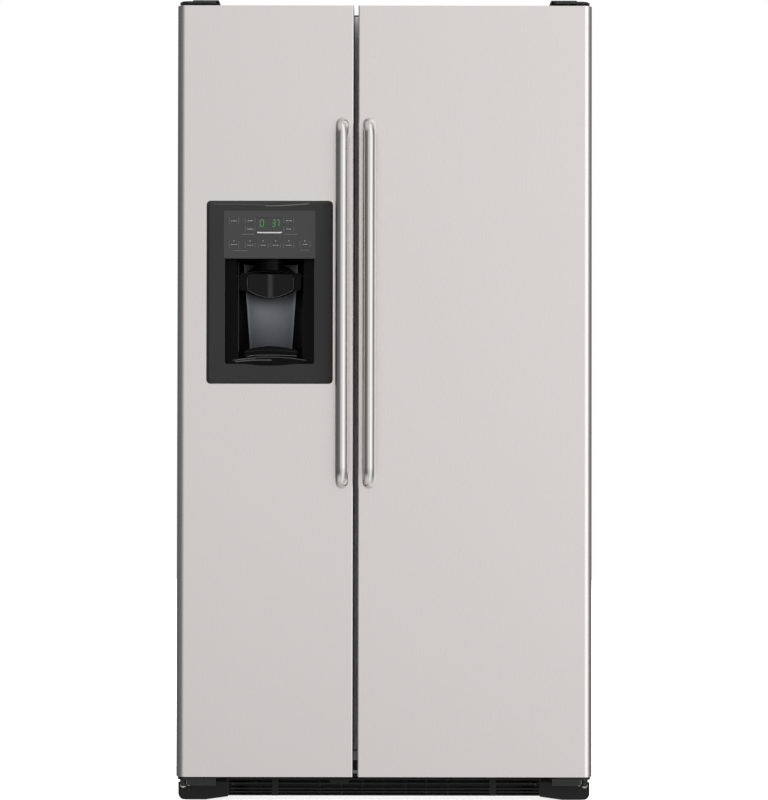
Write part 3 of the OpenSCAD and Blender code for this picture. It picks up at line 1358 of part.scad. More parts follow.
// Black housing: recess walls, back ledge, chute and nozzle ring
module dispenser_recess() {
  color("black") difference() {
    union() {
      difference() {
        intersection() {
          recess_space(housing_t);
          box([bez_x - 120, y_door + 0.5, rec_z0 - 14], [bez_x + 120, y_door + 120, rec_z1 + housing_t]);
        }
        recess_space(0);
      }
      // ledge across the back of the alcove
      intersection() {
        recess_space(1);
        along_y(y_door + wing_d + 22, y_door + 120) intersection() {
          translate([bez_x, rec_z0 + 41 - 170]) circle(170, $fn = 96);
          translate([bez_x - 90, rec_z0 - 1]) square([180, 60]);
        }
      }
      intersection() {
        chute_space(housing_t);
        box([bez_x - 60, y_door, rec_z1], [bez_x + 60, y_wall, bulge_z1]);
      }
      // nozzle ring and the flare behind it
      rod_z([bez_x, chute_low_y, rec_z1 - 24], 25, nozzle_r + 3);
      rod_z([bez_x, chute_low_y, rec_z1 - 8], 4, nozzle_r + 4.5);
      translate([bez_x, chute_low_y + 4, rec_z1 - 10]) cylinder(h = 11, r1 = nozzle_r + 4, r2 = nozzle_r + 7);
    }
    difference() {
      chute_space(0);
      box([bez_x - 60, y_door, rec_z1 - 80], [bez_x + 60, y_wall, rec_z1 + 1]);
    }
    rod_z([bez_x, chute_low_y, rec_z1 - 25], 30, nozzle_r - 5);
    rod_x([bez_x - pivot_hw - 0.5, paddle_y - 14, paddle_z], 2 * pivot_hw + 1, 3 + pin_play);
    // room for the flap's pivot at both walls of the chute
    translate([bez_x, chute_low_y, rec_z1]) rotate([-chute_a, 0, 0])
      rod_x([-chute_w / 2 - 2, chute_d / 2 - 4, flap_up], chute_w + 4, 2 + pin_play);
  }
}

// Plate with the display window; its keys are flat pads behind it
module control_panel() {
  w = recess_w / 2 + 3 - gap;
  color("gray") difference() {
    union() {
      along_y(bez_y - 0.6, bez_y + 3) rrect(bez_x - w, bez_x + w, rec_z1 + gap, rec_z1 + panel_h - gap, 3);
      box([bez_x - 78, bez_y + 2, rec_z1 + 14], [bez_x + 78, y_door + 20, rec_z1 + panel_h - 14]);
    }
    along_y(bez_y - 1, bez_y + 0.4) translate([bez_x - 30, rec_z1 + 68]) square([60, 22]);
  }
}

// Cradle that the glass pushes: pivot rod, band and scooped pad with a round lower edge
module dispenser_paddle() {
  y = paddle_y - 14;
  hw = 51;
  sag = 19;
  r = (hw * hw + sag * sag) / (2 * sag);
  edge_r = 108;
  color("black") {
    rod_x([bez_x - pivot_hw, y, paddle_z], 2 * pivot_hw, 3);
    difference() {
      along_y(y - 5, y + 4) rrect(bez_x - 67, bez_x + 67, paddle_z - 32, paddle_z + 7, 6);
      rod_z([bez_x, y - 5 - r + sag, paddle_z - 60], 100, r);
    }
    intersection() {
      difference() {
        rod_z([bez_x, y - 5 - r + sag, paddle_z - 50], 50, r + 3);
        rod_z([bez_x, y - 5 - r + sag, paddle_z - 60], 100, r);
        box([bez_x - 90, y - 200, paddle_z - 70], [bez_x + 90, y - 5, paddle_z + 20]);
      }
      along_y(y - 10, y + 60) translate([bez_x, paddle_z - 48 + edge_r]) circle(edge_r, $fn = 96);
    }
  }
}

// Flap that shuts the chute, hung on its own pins
module chute_flap() {
  color("black") translate([bez_x, chute_low_y, rec_z1]) rotate([-chute_a, 0, 0]) {
    box([-chute_w / 2 + 1, -chute_d / 2 + 1, flap_up - 1.5], [chute_w / 2 - 1, chute_d / 2 - 4, flap_up + 1.5]);
    rod_x([-chute_w / 2 - 1.5, chute_d / 2 - 4, flap_up], chute_w + 3, 2);
  }
}

// Removable tray with arc slots over its basin
module drip_tray() {
  color("black") difference() {
    intersection() {
      along_y(bez_y + 2, y_door + wing_d + 21) intersection() {
        translate([bez_x, tray_z - lens_h + gap + lens_r]) circle(lens_r, $fn = 360);
        translate([bez_x, tray_z + lens_h - lens_r]) circle(lens_r, $fn = 360);
      }
      along_z(rec_z0 - 20, rec_z0 + 40) {
        translate([bez_x - recess_w / 2 + gap, bez_y]) square([recess_w - 2 * gap, y_door + wing_d - gap - bez_y]);
        translate([bez_x, alcove_y]) circle(alcove_r - 4 - gap);
      }
    }
    for (r = [28 : 10 : 58]) translate([bez_x, alcove_y, tray_z + 3]) difference() {
      cylinder(h = 20, r = r + 4);
      translate([0, 0, -1]) cylinder(h = 22, r = r);
      box([-90, -90, -1], [90, 8, 22]);
    }
  }
}

// ---------------------------------------------------------------- fresh food door

module fresh_door_skin() {
  color("silver") door_skin(ff_x0, half_w, door_gap_r, door_r);
}

module fresh_door_liner() {
  color("white") door_core(ff_x0, half_w, door_gap_r, door_r, ff_rim_x0, ff_rim_x1);
}

module fresh_door_caps() {
  color("dimgray") door_caps(ff_x0, half_w, door_gap_r, door_r, pin_x);
}

module fresh_seal() {
  color("dimgray") door_seal(ff_x0 + seal_gap_in, half_w - seal_in);
}

module fresh_handle() {
  color("silver") handle(ff_x0 + handle_in);
}

lid_y = y_dback + gap + dairy_d + 4;
lid_z = dairy_z0 + dairy_h - 6;

// Bins, and the dairy box whose side walls carry the lid's pins
module fresh_door_bins() {
  y0 = y_dback + gap;
  color("lightcyan") {
    for (z = ff_shallow_z) door_bin(ff_bin_x0, ff_bin_x1, z, bin_shallow);
    for (z = ff_deep_z) door_bin(ff_bin_x0, ff_bin_x1, z, bin_deep - 5);
    difference() {
      union() {
        box([ff_bin_x0, y0, dairy_z0], [ff_bin_x1, y0 + dairy_d, dairy_z0 + dairy_h]);
        for (x = [ff_bin_x0, ff_bin_x1 - bin_t]) box([x, y0, lid_z - 14], [x + bin_t, lid_y + 7, dairy_z0 + dairy_h]);
      }
      box([ff_bin_x0 + bin_t, y0 + bin_t, dairy_z0 + bin_t], [ff_bin_x1 - bin_t, y0 + dairy_d + 1, dairy_z0 + dairy_h - bin_t]);
      rod_x([ff_bin_x0 - 1, lid_y, lid_z], ff_bin_x1 - ff_bin_x0 + 2, 2 + pin_play);
    }
  }
}

// Clear lid that lifts on two pins
module dairy_lid() {
  x0 = ff_bin_x0 + bin_t + gap;
  x1 = ff_bin_x1 - bin_t - gap;
  z0 = dairy_z0 + 2;
  color("lightcyan") {
    box([x0, lid_y - 1.5, z0], [x1, lid_y + 1.5, lid_z]);
    rod_x([x0, lid_y, lid_z], x1 - x0, 3.2);
    rod_x([ff_bin_x0 + 0.3, lid_y, lid_z], ff_bin_x1 - ff_bin_x0 - 0.6, 2);
    box([(x0 + x1) / 2 - 50, lid_y, z0], [(x0 + x1) / 2 + 50, lid_y + 8, z0 + 2.5]);
  }
}

// ---------------------------------------------------------------- assembly

cabinet_wrapper();
back_panel();
cabinet_foam();
freezer_liner();
fresh_liner();
base_frame();
toe_grille();
top_hinges();
hinge_covers();
bottom_hinges();
leveling_leg_left();
leveling_leg_right();
front_roller_left();
front_roller_right();
rear_rollers();
compressor();
condenser_coil();
condenser_fan_frame();
condenser_fan();
drain_pan();
rear_cover();
water_valve();
evaporator_coil();
evaporator_cover();
evaporator_fan();
ice_maker();
ice_maker_arm();
ice_bucket();
ice_auger();
wire_shelves();
freezer_basket_upper();
freezer_basket_lower();
lamp_covers();
shelf_glass();
shelf_frames();
crisper_cover();
crisper_upper();
crisper_lower();
humidity_slider();
deli_pan();
water_filter();
freezer_door_skin();
freezer_door_liner();
freezer_door_caps();
freezer_seal();
freezer_handle();
freezer_door_bins();
dispenser_bezel();
dispenser_recess();
control_panel();
dispenser_paddle();
chute_flap();
drip_tray();
fresh_door_skin();
fresh_door_liner();
fresh_door_caps();
fresh_seal();
fresh_handle();
fresh_door_bins();
dairy_lid();
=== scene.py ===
"""Looks of a side by side refrigerator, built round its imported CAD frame.

Everything is in metres in the frame's own axes: +X to the right seen from the front,
the doors face -Y, +Z is up and the floor is z = 0.
"""
import math

import bmesh
import bpy
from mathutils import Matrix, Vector


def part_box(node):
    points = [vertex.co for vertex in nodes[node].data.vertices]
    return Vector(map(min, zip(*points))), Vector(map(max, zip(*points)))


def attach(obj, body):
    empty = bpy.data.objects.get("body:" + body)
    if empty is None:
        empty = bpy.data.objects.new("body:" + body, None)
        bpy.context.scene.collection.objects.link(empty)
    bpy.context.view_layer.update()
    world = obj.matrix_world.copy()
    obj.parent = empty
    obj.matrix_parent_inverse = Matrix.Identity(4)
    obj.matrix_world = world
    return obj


MM = 0.001

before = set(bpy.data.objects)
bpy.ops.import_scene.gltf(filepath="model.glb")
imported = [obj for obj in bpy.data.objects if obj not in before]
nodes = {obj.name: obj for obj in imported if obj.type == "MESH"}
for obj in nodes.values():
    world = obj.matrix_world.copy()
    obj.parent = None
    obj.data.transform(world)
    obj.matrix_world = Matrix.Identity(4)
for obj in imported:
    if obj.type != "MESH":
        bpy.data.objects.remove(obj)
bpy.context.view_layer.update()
scene = bpy.context.scene
scene.view_settings.view_transform = "Standard"


def linear(hex_colour, alpha=1.0):
    """An sRGB hex value such as "d3d0ce" as a linear colour."""
    srgb = [int(hex_colour[i:i + 2], 16) / 255 for i in (0, 2, 4)]
    return tuple(c / 12.92 if c <= 0.04045 else ((c + 0.055) / 1.055) ** 2.4 for c in srgb) + (alpha,)


def add_node(tree, kind, links=None, values=None, **settings):
    """Adds a node, sets its properties and socket values, and links sockets into it."""
    node = tree.nodes.new(kind)
    for key, value in settings.items():
        setattr(node, key, value)
    for key, value in (values or {}).items():
        node.inputs[key].default_value = value
    for key, socket in (links or {}).items():
        tree.links.new(socket, node.inputs[key])
    return node


def add_object(name, shape):
    """Turns a shape into an object of the scene and frees the shape."""
    mesh = bpy.data.meshes.new(name)
    shape.to_mesh(mesh)
    shape.free()
    thing = bpy.data.objects.new(name, mesh)
    scene.collection.objects.link(thing)
    return thing


# ---------------------------------------------------------------- camera and studio

DOOR_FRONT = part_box("fresh_door_skin")[0].y
CAMERA_DISTANCE = 4.5        # from the doors' face
CAMERA_HEIGHT = 0.84
CAMERA_SIDE = -0.0009
CAMERA_PITCH = 0.598         # degrees above level
CAMERA_ROLL = -0.086         # degrees
LENS_MM = 92.75
SENSOR_MM = 36

# Brightness of the studio round the horizon, by degrees to the right of straight ahead of the doors
HORIZON = [(-180, 0.1), (-95, 0.12), (-45, 0.17), (-27, 0.3), (-12, 0.76), (11, 0.77), (24, 1.3), (52, 1.3),
           (66, 0.5), (95, 0.2), (180, 0.1)]
BRIGHTEST = 1.3

SURROUND_RADIUS = 30
FLOOR_RADIUS = 6.2
FLOOR_DROP = 0.0005          # under z = 0, so that the feet don't share its plane
LIT_POINT = (0, 0, 0.9)      # middle of the case
# name, place, width and height, watts
SOFTBOXES = [("key_softbox", (-2.6, -5.0, 3.2), (2.6, 2.6), 170),
             ("fill_softbox", (2.9, -4.6, 2.4), (2.4, 2.4), 110),
             ("top_softbox", (0, -0.8, 5.0), (3.5, 3.0), 130),
             ("rear_softbox", (0.8, 5.0, 3.0), (3.0, 3.0), 150)]


def make_camera():
    """A long lens in front of the doors, a little below their middle."""
    data = bpy.data.cameras.new("front_camera")
    data.sensor_width = SENSOR_MM
    data.lens = LENS_MM
    camera = bpy.data.objects.new("front_camera", data)
    scene.collection.objects.link(camera)
    camera.location = (CAMERA_SIDE, DOOR_FRONT - CAMERA_DISTANCE, CAMERA_HEIGHT)
    camera.rotation_euler = (math.radians(90 + CAMERA_PITCH), math.radians(CAMERA_ROLL), 0)
    scene.camera = camera


def make_world():
    """Soft studio: a wide front, a bright screen to its right, dim sides and back, pale above and below."""
    world = bpy.data.worlds.new("studio")
    scene.world = world
    world.use_nodes = True
    tree = world.node_tree
    tree.nodes.clear()
    direction = add_node(tree, "ShaderNodeTexCoord").outputs["Generated"]
    axes = add_node(tree, "ShaderNodeSeparateXYZ", {"Vector": direction})

    # level round the horizon, from a ramp over the full turn
    ahead = add_node(tree, "ShaderNodeMath", {0: axes.outputs["Y"]}, {1: -1.0}, operation="MULTIPLY")
    angle = add_node(tree, "ShaderNodeMath", {0: axes.outputs["X"], 1: ahead.outputs[0]}, operation="ARCTAN2")
    turn = add_node(tree, "ShaderNodeMapRange", {"Value": angle.outputs[0]},
                    {"From Min": -math.pi, "From Max": math.pi})
    screen = add_node(tree, "ShaderNodeValToRGB", {"Fac": turn.outputs[0]})
    stops = screen.color_ramp.elements
    while len(stops) < len(HORIZON):
        stops.new(0.5)
    for stop, (degrees, level) in zip(stops, HORIZON):
        stop.position = (degrees + 180) / 360
        stop.color = (level / BRIGHTEST,) * 3 + (1,)

    # pale ceiling and ground, and a horizon that is a little dimmer below the eye
    steep = add_node(tree, "ShaderNodeMath", {0: axes.outputs["Z"]}, operation="ABSOLUTE")
    glow = add_node(tree, "ShaderNodeMapRange", {"Value": steep.outputs[0]},
                    {"From Min": 0.25, "From Max": 0.85, "To Min": 0.0, "To Max": 0.55},
                    interpolation_type="SMOOTHSTEP")
    low = add_node(tree, "ShaderNodeMapRange", {"Value": axes.outputs["Z"]},
                   {"From Min": -0.2, "From Max": -0.1, "To Min": 0.82, "To Max": 1.0})
    around = add_node(tree, "ShaderNodeMath", {0: screen.outputs[0], 1: low.outputs[0]}, operation="MULTIPLY")
    light = add_node(tree, "ShaderNodeMath", {0: around.outputs[0], 1: glow.outputs[0]}, operation="MAXIMUM")
    strength = add_node(tree, "ShaderNodeMath", {0: light.outputs[0]}, {1: BRIGHTEST}, operation="MULTIPLY")
    background = add_node(tree, "ShaderNodeBackground", {"Strength": strength.outputs[0]},
                          {"Color": (1, 1, 1, 1)})
    add_node(tree, "ShaderNodeOutputWorld", {"Surface": background.outputs[0]})


def glow_material(name, colour, strength):
    """Even light from a surface, for the backdrop."""
    material = bpy.data.materials.new(name)
    material.use_nodes = True
    tree = material.node_tree
    tree.nodes.clear()
    glow = add_node(tree, "ShaderNodeEmission", values={"Color": colour, "Strength": strength})
    add_node(tree, "ShaderNodeOutputMaterial", {"Surface": glow.outputs[0]})
    return material


def floor_paint():
    """Pale matt floor that glows enough to stay even out to its rim."""
    paint = bpy.data.materials.new("pale_floor")
    paint.use_nodes = True
    shader = paint.node_tree.nodes["Principled BSDF"]
    shader.inputs["Base Color"].default_value = (0.95, 0.95, 0.95, 1)
    shader.inputs["Roughness"].default_value = 0.7
    shader.inputs["Emission Color"].default_value = (1, 1, 1, 1)
    shader.inputs["Emission Strength"].default_value = 0.8
    return paint


def add_softbox(name, place, size, power):
    """A soft lamp that points at the middle of the case and isn't seen in reflections."""
    data = bpy.data.lights.new(name, "AREA")
    data.shape = "RECTANGLE"
    data.size, data.size_y = size
    data.energy = power
    light = bpy.data.objects.new(name, data)
    scene.collection.objects.link(light)
    light.location = place
    light.rotation_euler = (Vector(LIT_POINT) - Vector(place)).to_track_quat("-Z", "Y").to_euler()
    light.visible_glossy = False


def make_studio():
    """White surround that only the camera sees, a pale floor, and four softboxes."""
    ball = bmesh.new()
    bmesh.ops.create_uvsphere(ball, u_segments=48, v_segments=24, radius=SURROUND_RADIUS)
    surround = add_object("surround", ball)
    surround.data.materials.append(glow_material("white_surround", (1, 1, 1, 1), 1.0))
    surround.visible_diffuse = surround.visible_glossy = surround.visible_shadow = False
    surround.visible_transmission = False

    disc = bmesh.new()
    bmesh.ops.create_circle(disc, cap_ends=True, segments=64, radius=FLOOR_RADIUS)
    floor = add_object("floor", disc)
    floor.location.z = -FLOOR_DROP
    floor.data.materials.append(floor_paint())
    floor.visible_glossy = floor.visible_diffuse = False

    for name, place, size, power in SOFTBOXES:
        add_softbox(name, place, size, power)


make_camera()
make_world()
make_studio()


# ---------------------------------------------------------------- materials

def surface(name, colour, *, metallic=0.0, roughness=0.5, grain_mm=1.0, stretch=(1, 1, 1), grain_depth_mm=0.0,
            shade=0.03, gloss_spread=0.05, cloud_mm=140.0, edge_mm=0.8, wear=0.12, painted_sheen=None, sockets=None):
    """A solid finish: fine grain in gloss and relief, slow drift of colour, softened and rubbed edges.

    stretch divides the grain's size along X, Y and Z, so a small number draws it out that way. A paler
    upright band can be painted in as a sheen, a painted highlight: given as where its middle lies in X, its
    half width and its colour.
    """
    material = bpy.data.materials.new(name)
    material.use_nodes = True
    tree = material.node_tree
    shader = tree.nodes["Principled BSDF"]
    shader.inputs["Metallic"].default_value = metallic
    for key, value in (sockets or {}).items():
        shader.inputs[key].default_value = value

    place = add_node(tree, "ShaderNodeTexCoord").outputs["Object"]
    stretched = add_node(tree, "ShaderNodeMapping", {"Vector": place}, {"Scale": stretch})
    grain = add_node(tree, "ShaderNodeTexNoise", {"Vector": stretched.outputs[0]},
                     {"Scale": 1 / (grain_mm * MM), "Detail": 3.0, "Roughness": 0.55})
    cloud = add_node(tree, "ShaderNodeTexNoise", {"Vector": place},
                     {"Scale": 1 / (cloud_mm * MM), "Detail": 2.0})

    drift = add_node(tree, "ShaderNodeMath", {0: grain.outputs[0], 1: cloud.outputs[0]}, operation="ADD")
    plain = linear(colour)[:3]
    darker, lighter = (tuple(min(1, c * k) for c in plain) + (1,) for k in (1 - shade, 1 + shade))
    tint = add_node(tree, "ShaderNodeMapRange", {"Value": drift.outputs[0]},
                    {"From Min": 0.7, "From Max": 1.3})
    body = add_node(tree, "ShaderNodeMix", {0: tint.outputs[0]}, {6: darker, 7: lighter}, data_type="RGBA")

    edge = add_node(tree, "ShaderNodeBevel", values={"Radius": edge_mm * MM}, samples=4)
    true_normal = add_node(tree, "ShaderNodeNewGeometry").outputs["Normal"]
    facing = add_node(tree, "ShaderNodeVectorMath", {0: edge.outputs[0], 1: true_normal},
                      operation="DOT_PRODUCT")
    rubbed = add_node(tree, "ShaderNodeMapRange", {"Value": facing.outputs["Value"]},
                      {"From Min": 0.995, "From Max": 0.85, "To Min": 0.0, "To Max": wear})
    worn = add_node(tree, "ShaderNodeMix", {0: rubbed.outputs[0], 6: body.outputs[2]},
                    {7: tuple(c + (1 - c) * 0.5 for c in plain) + (1,)}, data_type="RGBA")
    painted = worn.outputs[2]
    # painted sheen: a paler upright band mixed into the colour by distance from its middle in X, a painted
    # highlight
    if painted_sheen:
        middle, half_width, pale = painted_sheen
        axes = add_node(tree, "ShaderNodeSeparateXYZ", {"Vector": place})
        across = add_node(tree, "ShaderNodeMath", {0: axes.outputs["X"]}, {1: middle}, operation="SUBTRACT")
        away = add_node(tree, "ShaderNodeMath", {0: across.outputs[0]}, operation="ABSOLUTE")
        near = add_node(tree, "ShaderNodeMapRange", {"Value": away.outputs[0]},
                        {"From Min": half_width, "From Max": 0.0}, interpolation_type="SMOOTHSTEP")
        painted = add_node(tree, "ShaderNodeMix", {0: near.outputs[0], 6: painted}, {7: linear(pale)},
                           data_type="RGBA").outputs[2]
    tree.links.new(painted, shader.inputs["Base Color"])

    gloss = add_node(tree, "ShaderNodeMapRange", {"Value": grain.outputs[0]},
                     {"From Min": 0.3, "From Max": 0.7, "To Min": max(0.02, roughness - gloss_spread),
                      "To Max": min(1.0, roughness + gloss_spread)})
    tree.links.new(gloss.outputs[0], shader.inputs["Roughness"])
    relief = add_node(tree, "ShaderNodeBump", {"Height": grain.outputs[0], "Normal": edge.outputs[0]},
                      {"Distance": grain_depth_mm * MM, "Strength": 1.0 if grain_depth_mm else 0.0})
    tree.links.new(relief.outputs[0], shader.inputs["Normal"])
    return material


def clear(name, colour, roughness, ior, grain_mm):
    """A see-through finish whose gloss and tint drift a little, as in moulded or rolled sheet."""
    return surface(name, colour, roughness=roughness, grain_mm=grain_mm, grain_depth_mm=0.02, shade=0.05,
                   gloss_spread=roughness * 0.4, wear=0.3, sockets={"Transmission Weight": 0.94, "IOR": ior})


# Brushed stainless sheet: fine upright lines that spread the light sideways
stainless = surface("brushed_stainless_sheet", "f0ebe9", metallic=1.0, roughness=0.27, grain_mm=1.2,
                    stretch=(1, 1, 0.01), grain_depth_mm=0.0004, shade=0.005, gloss_spread=0.008,
                    cloud_mm=420, edge_mm=0.6, wear=0.0)
# Satin-ground stainless tube of the handles: the same lines along its length, with a sharper highlight
handle_steel = surface("satin_stainless_tube", "dedcd9", metallic=1.0, roughness=0.16, grain_mm=1.2,
                       stretch=(1, 1, 0.01), grain_depth_mm=0.001, shade=0.03, gloss_spread=0.03,
                       edge_mm=0.5, wear=0.0)
# Textured black powder paint over steel: a pebbled skin with soft gloss
case_paint = surface("textured_powder_paint", "2a2a2c", roughness=0.46, grain_mm=1.5, grain_depth_mm=0.12,
                     shade=0.1, gloss_spread=0.08, wear=0.1)
# Black baked enamel on pressed steel hinges and brackets: smooth, with rubbed corners
hinge_paint = surface("baked_enamel_steel", "111112", roughness=0.34, grain_mm=0.8, grain_depth_mm=0.01,
                      wear=0.3)
# Galvanised sheet: pale zinc with its cloudy crystal spangle
galvanised = surface("galvanised_sheet", "b4b6b7", metallic=0.6, roughness=0.42, grain_mm=9, shade=0.14,
                     gloss_spread=0.12, cloud_mm=60, wear=0.1)
# Zinc plated steel of bolts, legs and wires: small cool glints
zinc = surface("zinc_plated_steel", "c9c9c4", metallic=1.0, roughness=0.26, grain_mm=1.5, shade=0.06,
               edge_mm=0.4)
# Rigid polyurethane foam, blown in place: dull buff with open pores
foam = surface("blown_polyurethane_foam", "d9c88f", roughness=0.95, grain_mm=2, grain_depth_mm=0.4,
               shade=0.12)
# Vacuum-formed polystyrene of the liners: clean glossy white with wide soft corners
liner_white = surface("vacuum_formed_polystyrene", "eeeeec", roughness=0.22, grain_mm=3, grain_depth_mm=0.01,
                      shade=0.015, edge_mm=2.0, wear=0.0, sockets={"IOR": 1.59})
# Injection moulded white ABS of frames, tracks and the ice maker: a little greyer and more matt
white_abs = surface("moulded_white_abs", "e8e8e6", roughness=0.36, grain_mm=0.9, grain_depth_mm=0.015,
                    shade=0.02, wear=0.0, sockets={"IOR": 1.53})
# Injection moulded black polypropylene of the grille and hinge covers: deep satin black
black_pp = surface("moulded_black_polypropylene", "0c0c0c", roughness=0.42, grain_mm=0.9, grain_depth_mm=0.03,
                   shade=0.1, wear=0.1, sockets={"IOR": 1.49, "Specular IOR Level": 0.3})
# Charcoal ABS of the bezel and end caps: fine spark-eroded satin
charcoal_abs = surface("moulded_charcoal_abs", "202020", roughness=0.42, grain_mm=0.7, grain_depth_mm=0.02,
                       shade=0.06, wear=0.1, sockets={"IOR": 1.53, "Specular IOR Level": 0.3})
# Polished black ABS of the dispenser's housing, cradle and tray: near black, with narrow reflections
gloss_black = surface("polished_black_abs", "060505", roughness=0.14, grain_mm=6, grain_depth_mm=0.004,
                      shade=0.1, gloss_spread=0.03, wear=0.04,
                      sockets={"IOR": 1.53, "Specular IOR Level": 0.07})
# Polyester film over the control plate: flat satin grey, ready for print
panel_film = surface("satin_polyester_film", "2e2e2f", roughness=0.34, grain_mm=0.6, grain_depth_mm=0.005,
                     shade=0.04, wear=0.05, sockets={"IOR": 1.57, "Specular IOR Level": 0.35})
# Soft grey vinyl of the magnetic seals: matt, with a fine skin
seal_vinyl = surface("extruded_vinyl", "4a4b4d", roughness=0.6, grain_mm=0.8, grain_depth_mm=0.03, shade=0.08)
# White nylon powder on welded wire: thick, smooth and glossy
coated_wire = surface("nylon_coated_wire", "eceeee", roughness=0.3, grain_mm=1.0, grain_depth_mm=0.03,
                      edge_mm=1.6, wear=0.0)
# Bare aluminium of the fins and tube: pale, with lines from the rolls
fins = surface("rolled_aluminium", "c4c6c8", metallic=1.0, roughness=0.38, grain_mm=2, stretch=(1, 1, 0.1),
               shade=0.06)
# Black stoving enamel of the compressor pot and condenser: wet gloss, worn at the edges
pot_enamel = surface("black_stoving_enamel", "121213", roughness=0.25, grain_mm=2, grain_depth_mm=0.02,
                     wear=0.2)
# Glass-filled nylon of the rollers: dull black with a fine grain
nylon = surface("glass_filled_nylon", "1c1c1d", roughness=0.5, grain_mm=0.8, grain_depth_mm=0.03)
# Opal acrylic over the lamps: warm white that glows a little
lamp_opal = surface("opal_acrylic", "f4f2ea", roughness=0.3, grain_mm=1.2, grain_depth_mm=0.02, wear=0.0,
                    sockets={"Emission Color": (1, 0.98, 0.94, 1), "Emission Strength": 0.5})
# Clear polystyrene of bins and drawers: see-through, with a cool tint
clear_ps = clear("clear_moulded_polystyrene", "eef6f8", 0.06, 1.3, 4)
# Toughened float glass of the shelves: clearer and greener
shelf_glass = clear("toughened_float_glass", "dff1ec", 0.03, 1.45, 8)

NODE_FINISH = {
    stainless: ["freezer_door_skin", "fresh_door_skin"],
    handle_steel: ["freezer_handle", "fresh_handle"],
    case_paint: ["cabinet_wrapper"],
    hinge_paint: ["top_hinges", "bottom_hinges"],
    galvanised: ["back_panel", "base_frame", "condenser_fan_frame"],
    zinc: ["leveling_leg_left", "leveling_leg_right", "ice_maker_arm", "ice_auger"],
    foam: ["cabinet_foam"],
    liner_white: ["freezer_liner", "fresh_liner", "evaporator_cover", "freezer_door_liner",
                  "fresh_door_liner"],
    white_abs: ["water_valve", "evaporator_fan", "ice_maker", "shelf_frames", "crisper_cover",
                "water_filter"],
    black_pp: ["toe_grille", "hinge_covers", "condenser_fan", "drain_pan"],
    charcoal_abs: ["rear_cover", "humidity_slider", "freezer_door_caps", "dispenser_bezel",
                   "fresh_door_caps"],
    gloss_black: ["dispenser_recess", "dispenser_paddle", "chute_flap", "drip_tray"],
    panel_film: ["control_panel"],
    seal_vinyl: ["freezer_seal", "fresh_seal"],
    coated_wire: ["wire_shelves", "freezer_basket_upper", "freezer_basket_lower"],
    fins: ["evaporator_coil"],
    pot_enamel: ["compressor", "condenser_coil"],
    nylon: ["front_roller_left", "front_roller_right", "rear_rollers"],
    lamp_opal: ["lamp_covers"],
    clear_ps: ["ice_bucket", "crisper_upper", "crisper_lower", "deli_pan", "freezer_door_bins",
               "fresh_door_bins", "dairy_lid"],
    shelf_glass: ["shelf_glass"],
}


def dress_nodes():
    """Gives every CAD node its finish."""
    for finish, names in NODE_FINISH.items():
        for name in names:
            nodes[name].data.materials.clear()
            nodes[name].data.materials.append(finish)


dress_nodes()


# ---------------------------------------------------------------- shaping tools

def add_block(shape, low, high, rounding):
    """A block between two corners, with its edges rounded."""
    low, high = Vector(low), Vector(high)
    corners = bmesh.ops.create_cube(shape, size=1)["verts"]
    for corner in corners:
        corner.co = (low + high) / 2 + Vector(c * d for c, d in zip(corner.co, high - low))
    edges = list(dict.fromkeys(edge for corner in corners for edge in corner.link_edges))
    bmesh.ops.bevel(shape, geom=edges, offset=rounding, segments=2, affect="EDGES", profile=0.5)


def rounded_rectangle(width, height, radius, steps=5):
    """Points of a rounded rectangle about its middle, counter-clockwise."""
    points = []
    for quarter, (sx, sz) in enumerate(((1, 1), (-1, 1), (-1, -1), (1, -1))):
        for step in range(steps + 1):
            turn = math.radians(90 * (quarter + step / steps))
            points.append((sx * (width / 2 - radius) + radius * math.cos(turn),
                           sz * (height / 2 - radius) + radius * math.sin(turn)))
    return points


def add_sheet(shape, outline, middle, front, back):
    """A flat plate that faces -Y: an outline in X and Z about a middle, from front to back."""
    near, far = ([shape.verts.new((middle[0] + x, y, middle[1] + z)) for x, z in outline]
                 for y in (front, back))
    shape.faces.new(near)
    shape.faces.new(reversed(far))
    for i in range(len(outline)):
        j = (i + 1) % len(outline)
        shape.faces.new((near[j], near[i], far[i], far[j]))


def add_frame(shape, outer, inner, middle, front, back):
    """A flat ring that faces -Y between two outlines with the same number of points."""
    rings = [[shape.verts.new((middle[0] + x, y, middle[1] + z)) for x, z in outline]
             for outline, y in ((outer, back), (outer, front), (inner, front), (inner, back))]
    for a, b in zip(rings, rings[1:] + rings[:1]):
        for i in range(len(a)):
            j = (i + 1) % len(a)
            shape.faces.new((a[i], a[j], b[j], b[i]))


def add_tube(shape, points, radius, sides=8, flat=1.0):
    """A round bead along points, flattened towards the viewer where flat is below 1."""
    points = [Vector(point) for point in points]
    rings = []
    for i, point in enumerate(points):
        along = (points[min(i + 1, len(points) - 1)] - points[max(i - 1, 0)]).normalized()
        side = along.cross(Vector((0, 1, 0)))
        side = side.normalized() if side.length > 0.1 else Vector((1, 0, 0))
        over = along.cross(side)
        turns = [2 * math.pi * k / sides for k in range(sides)]
        rings.append([shape.verts.new(point + radius * (math.cos(t) * side + flat * math.sin(t) * over))
                      for t in turns])
    for near, far in zip(rings, rings[1:]):
        for k in range(sides):
            shape.faces.new((near[k], near[(k + 1) % sides], far[(k + 1) % sides], far[k]))
    shape.faces.new(reversed(rings[0]))
    shape.faces.new(rings[-1])


def add_arc(shape, left, middle, right, y, radius, flat=1.0):
    """A bead along the curve through three places given as (x, z)."""
    steps = 24
    points = []
    for i in range(steps + 1):
        t = i / steps
        a, b, c = (1 - t) * (1 - 2 * t), 4 * t * (1 - t), t * (2 * t - 1)
        x, z = (a * p + b * q + c * r for p, q, r in zip(left, middle, right))
        points.append((x, y, z))
    add_tube(shape, points, radius, flat=flat)


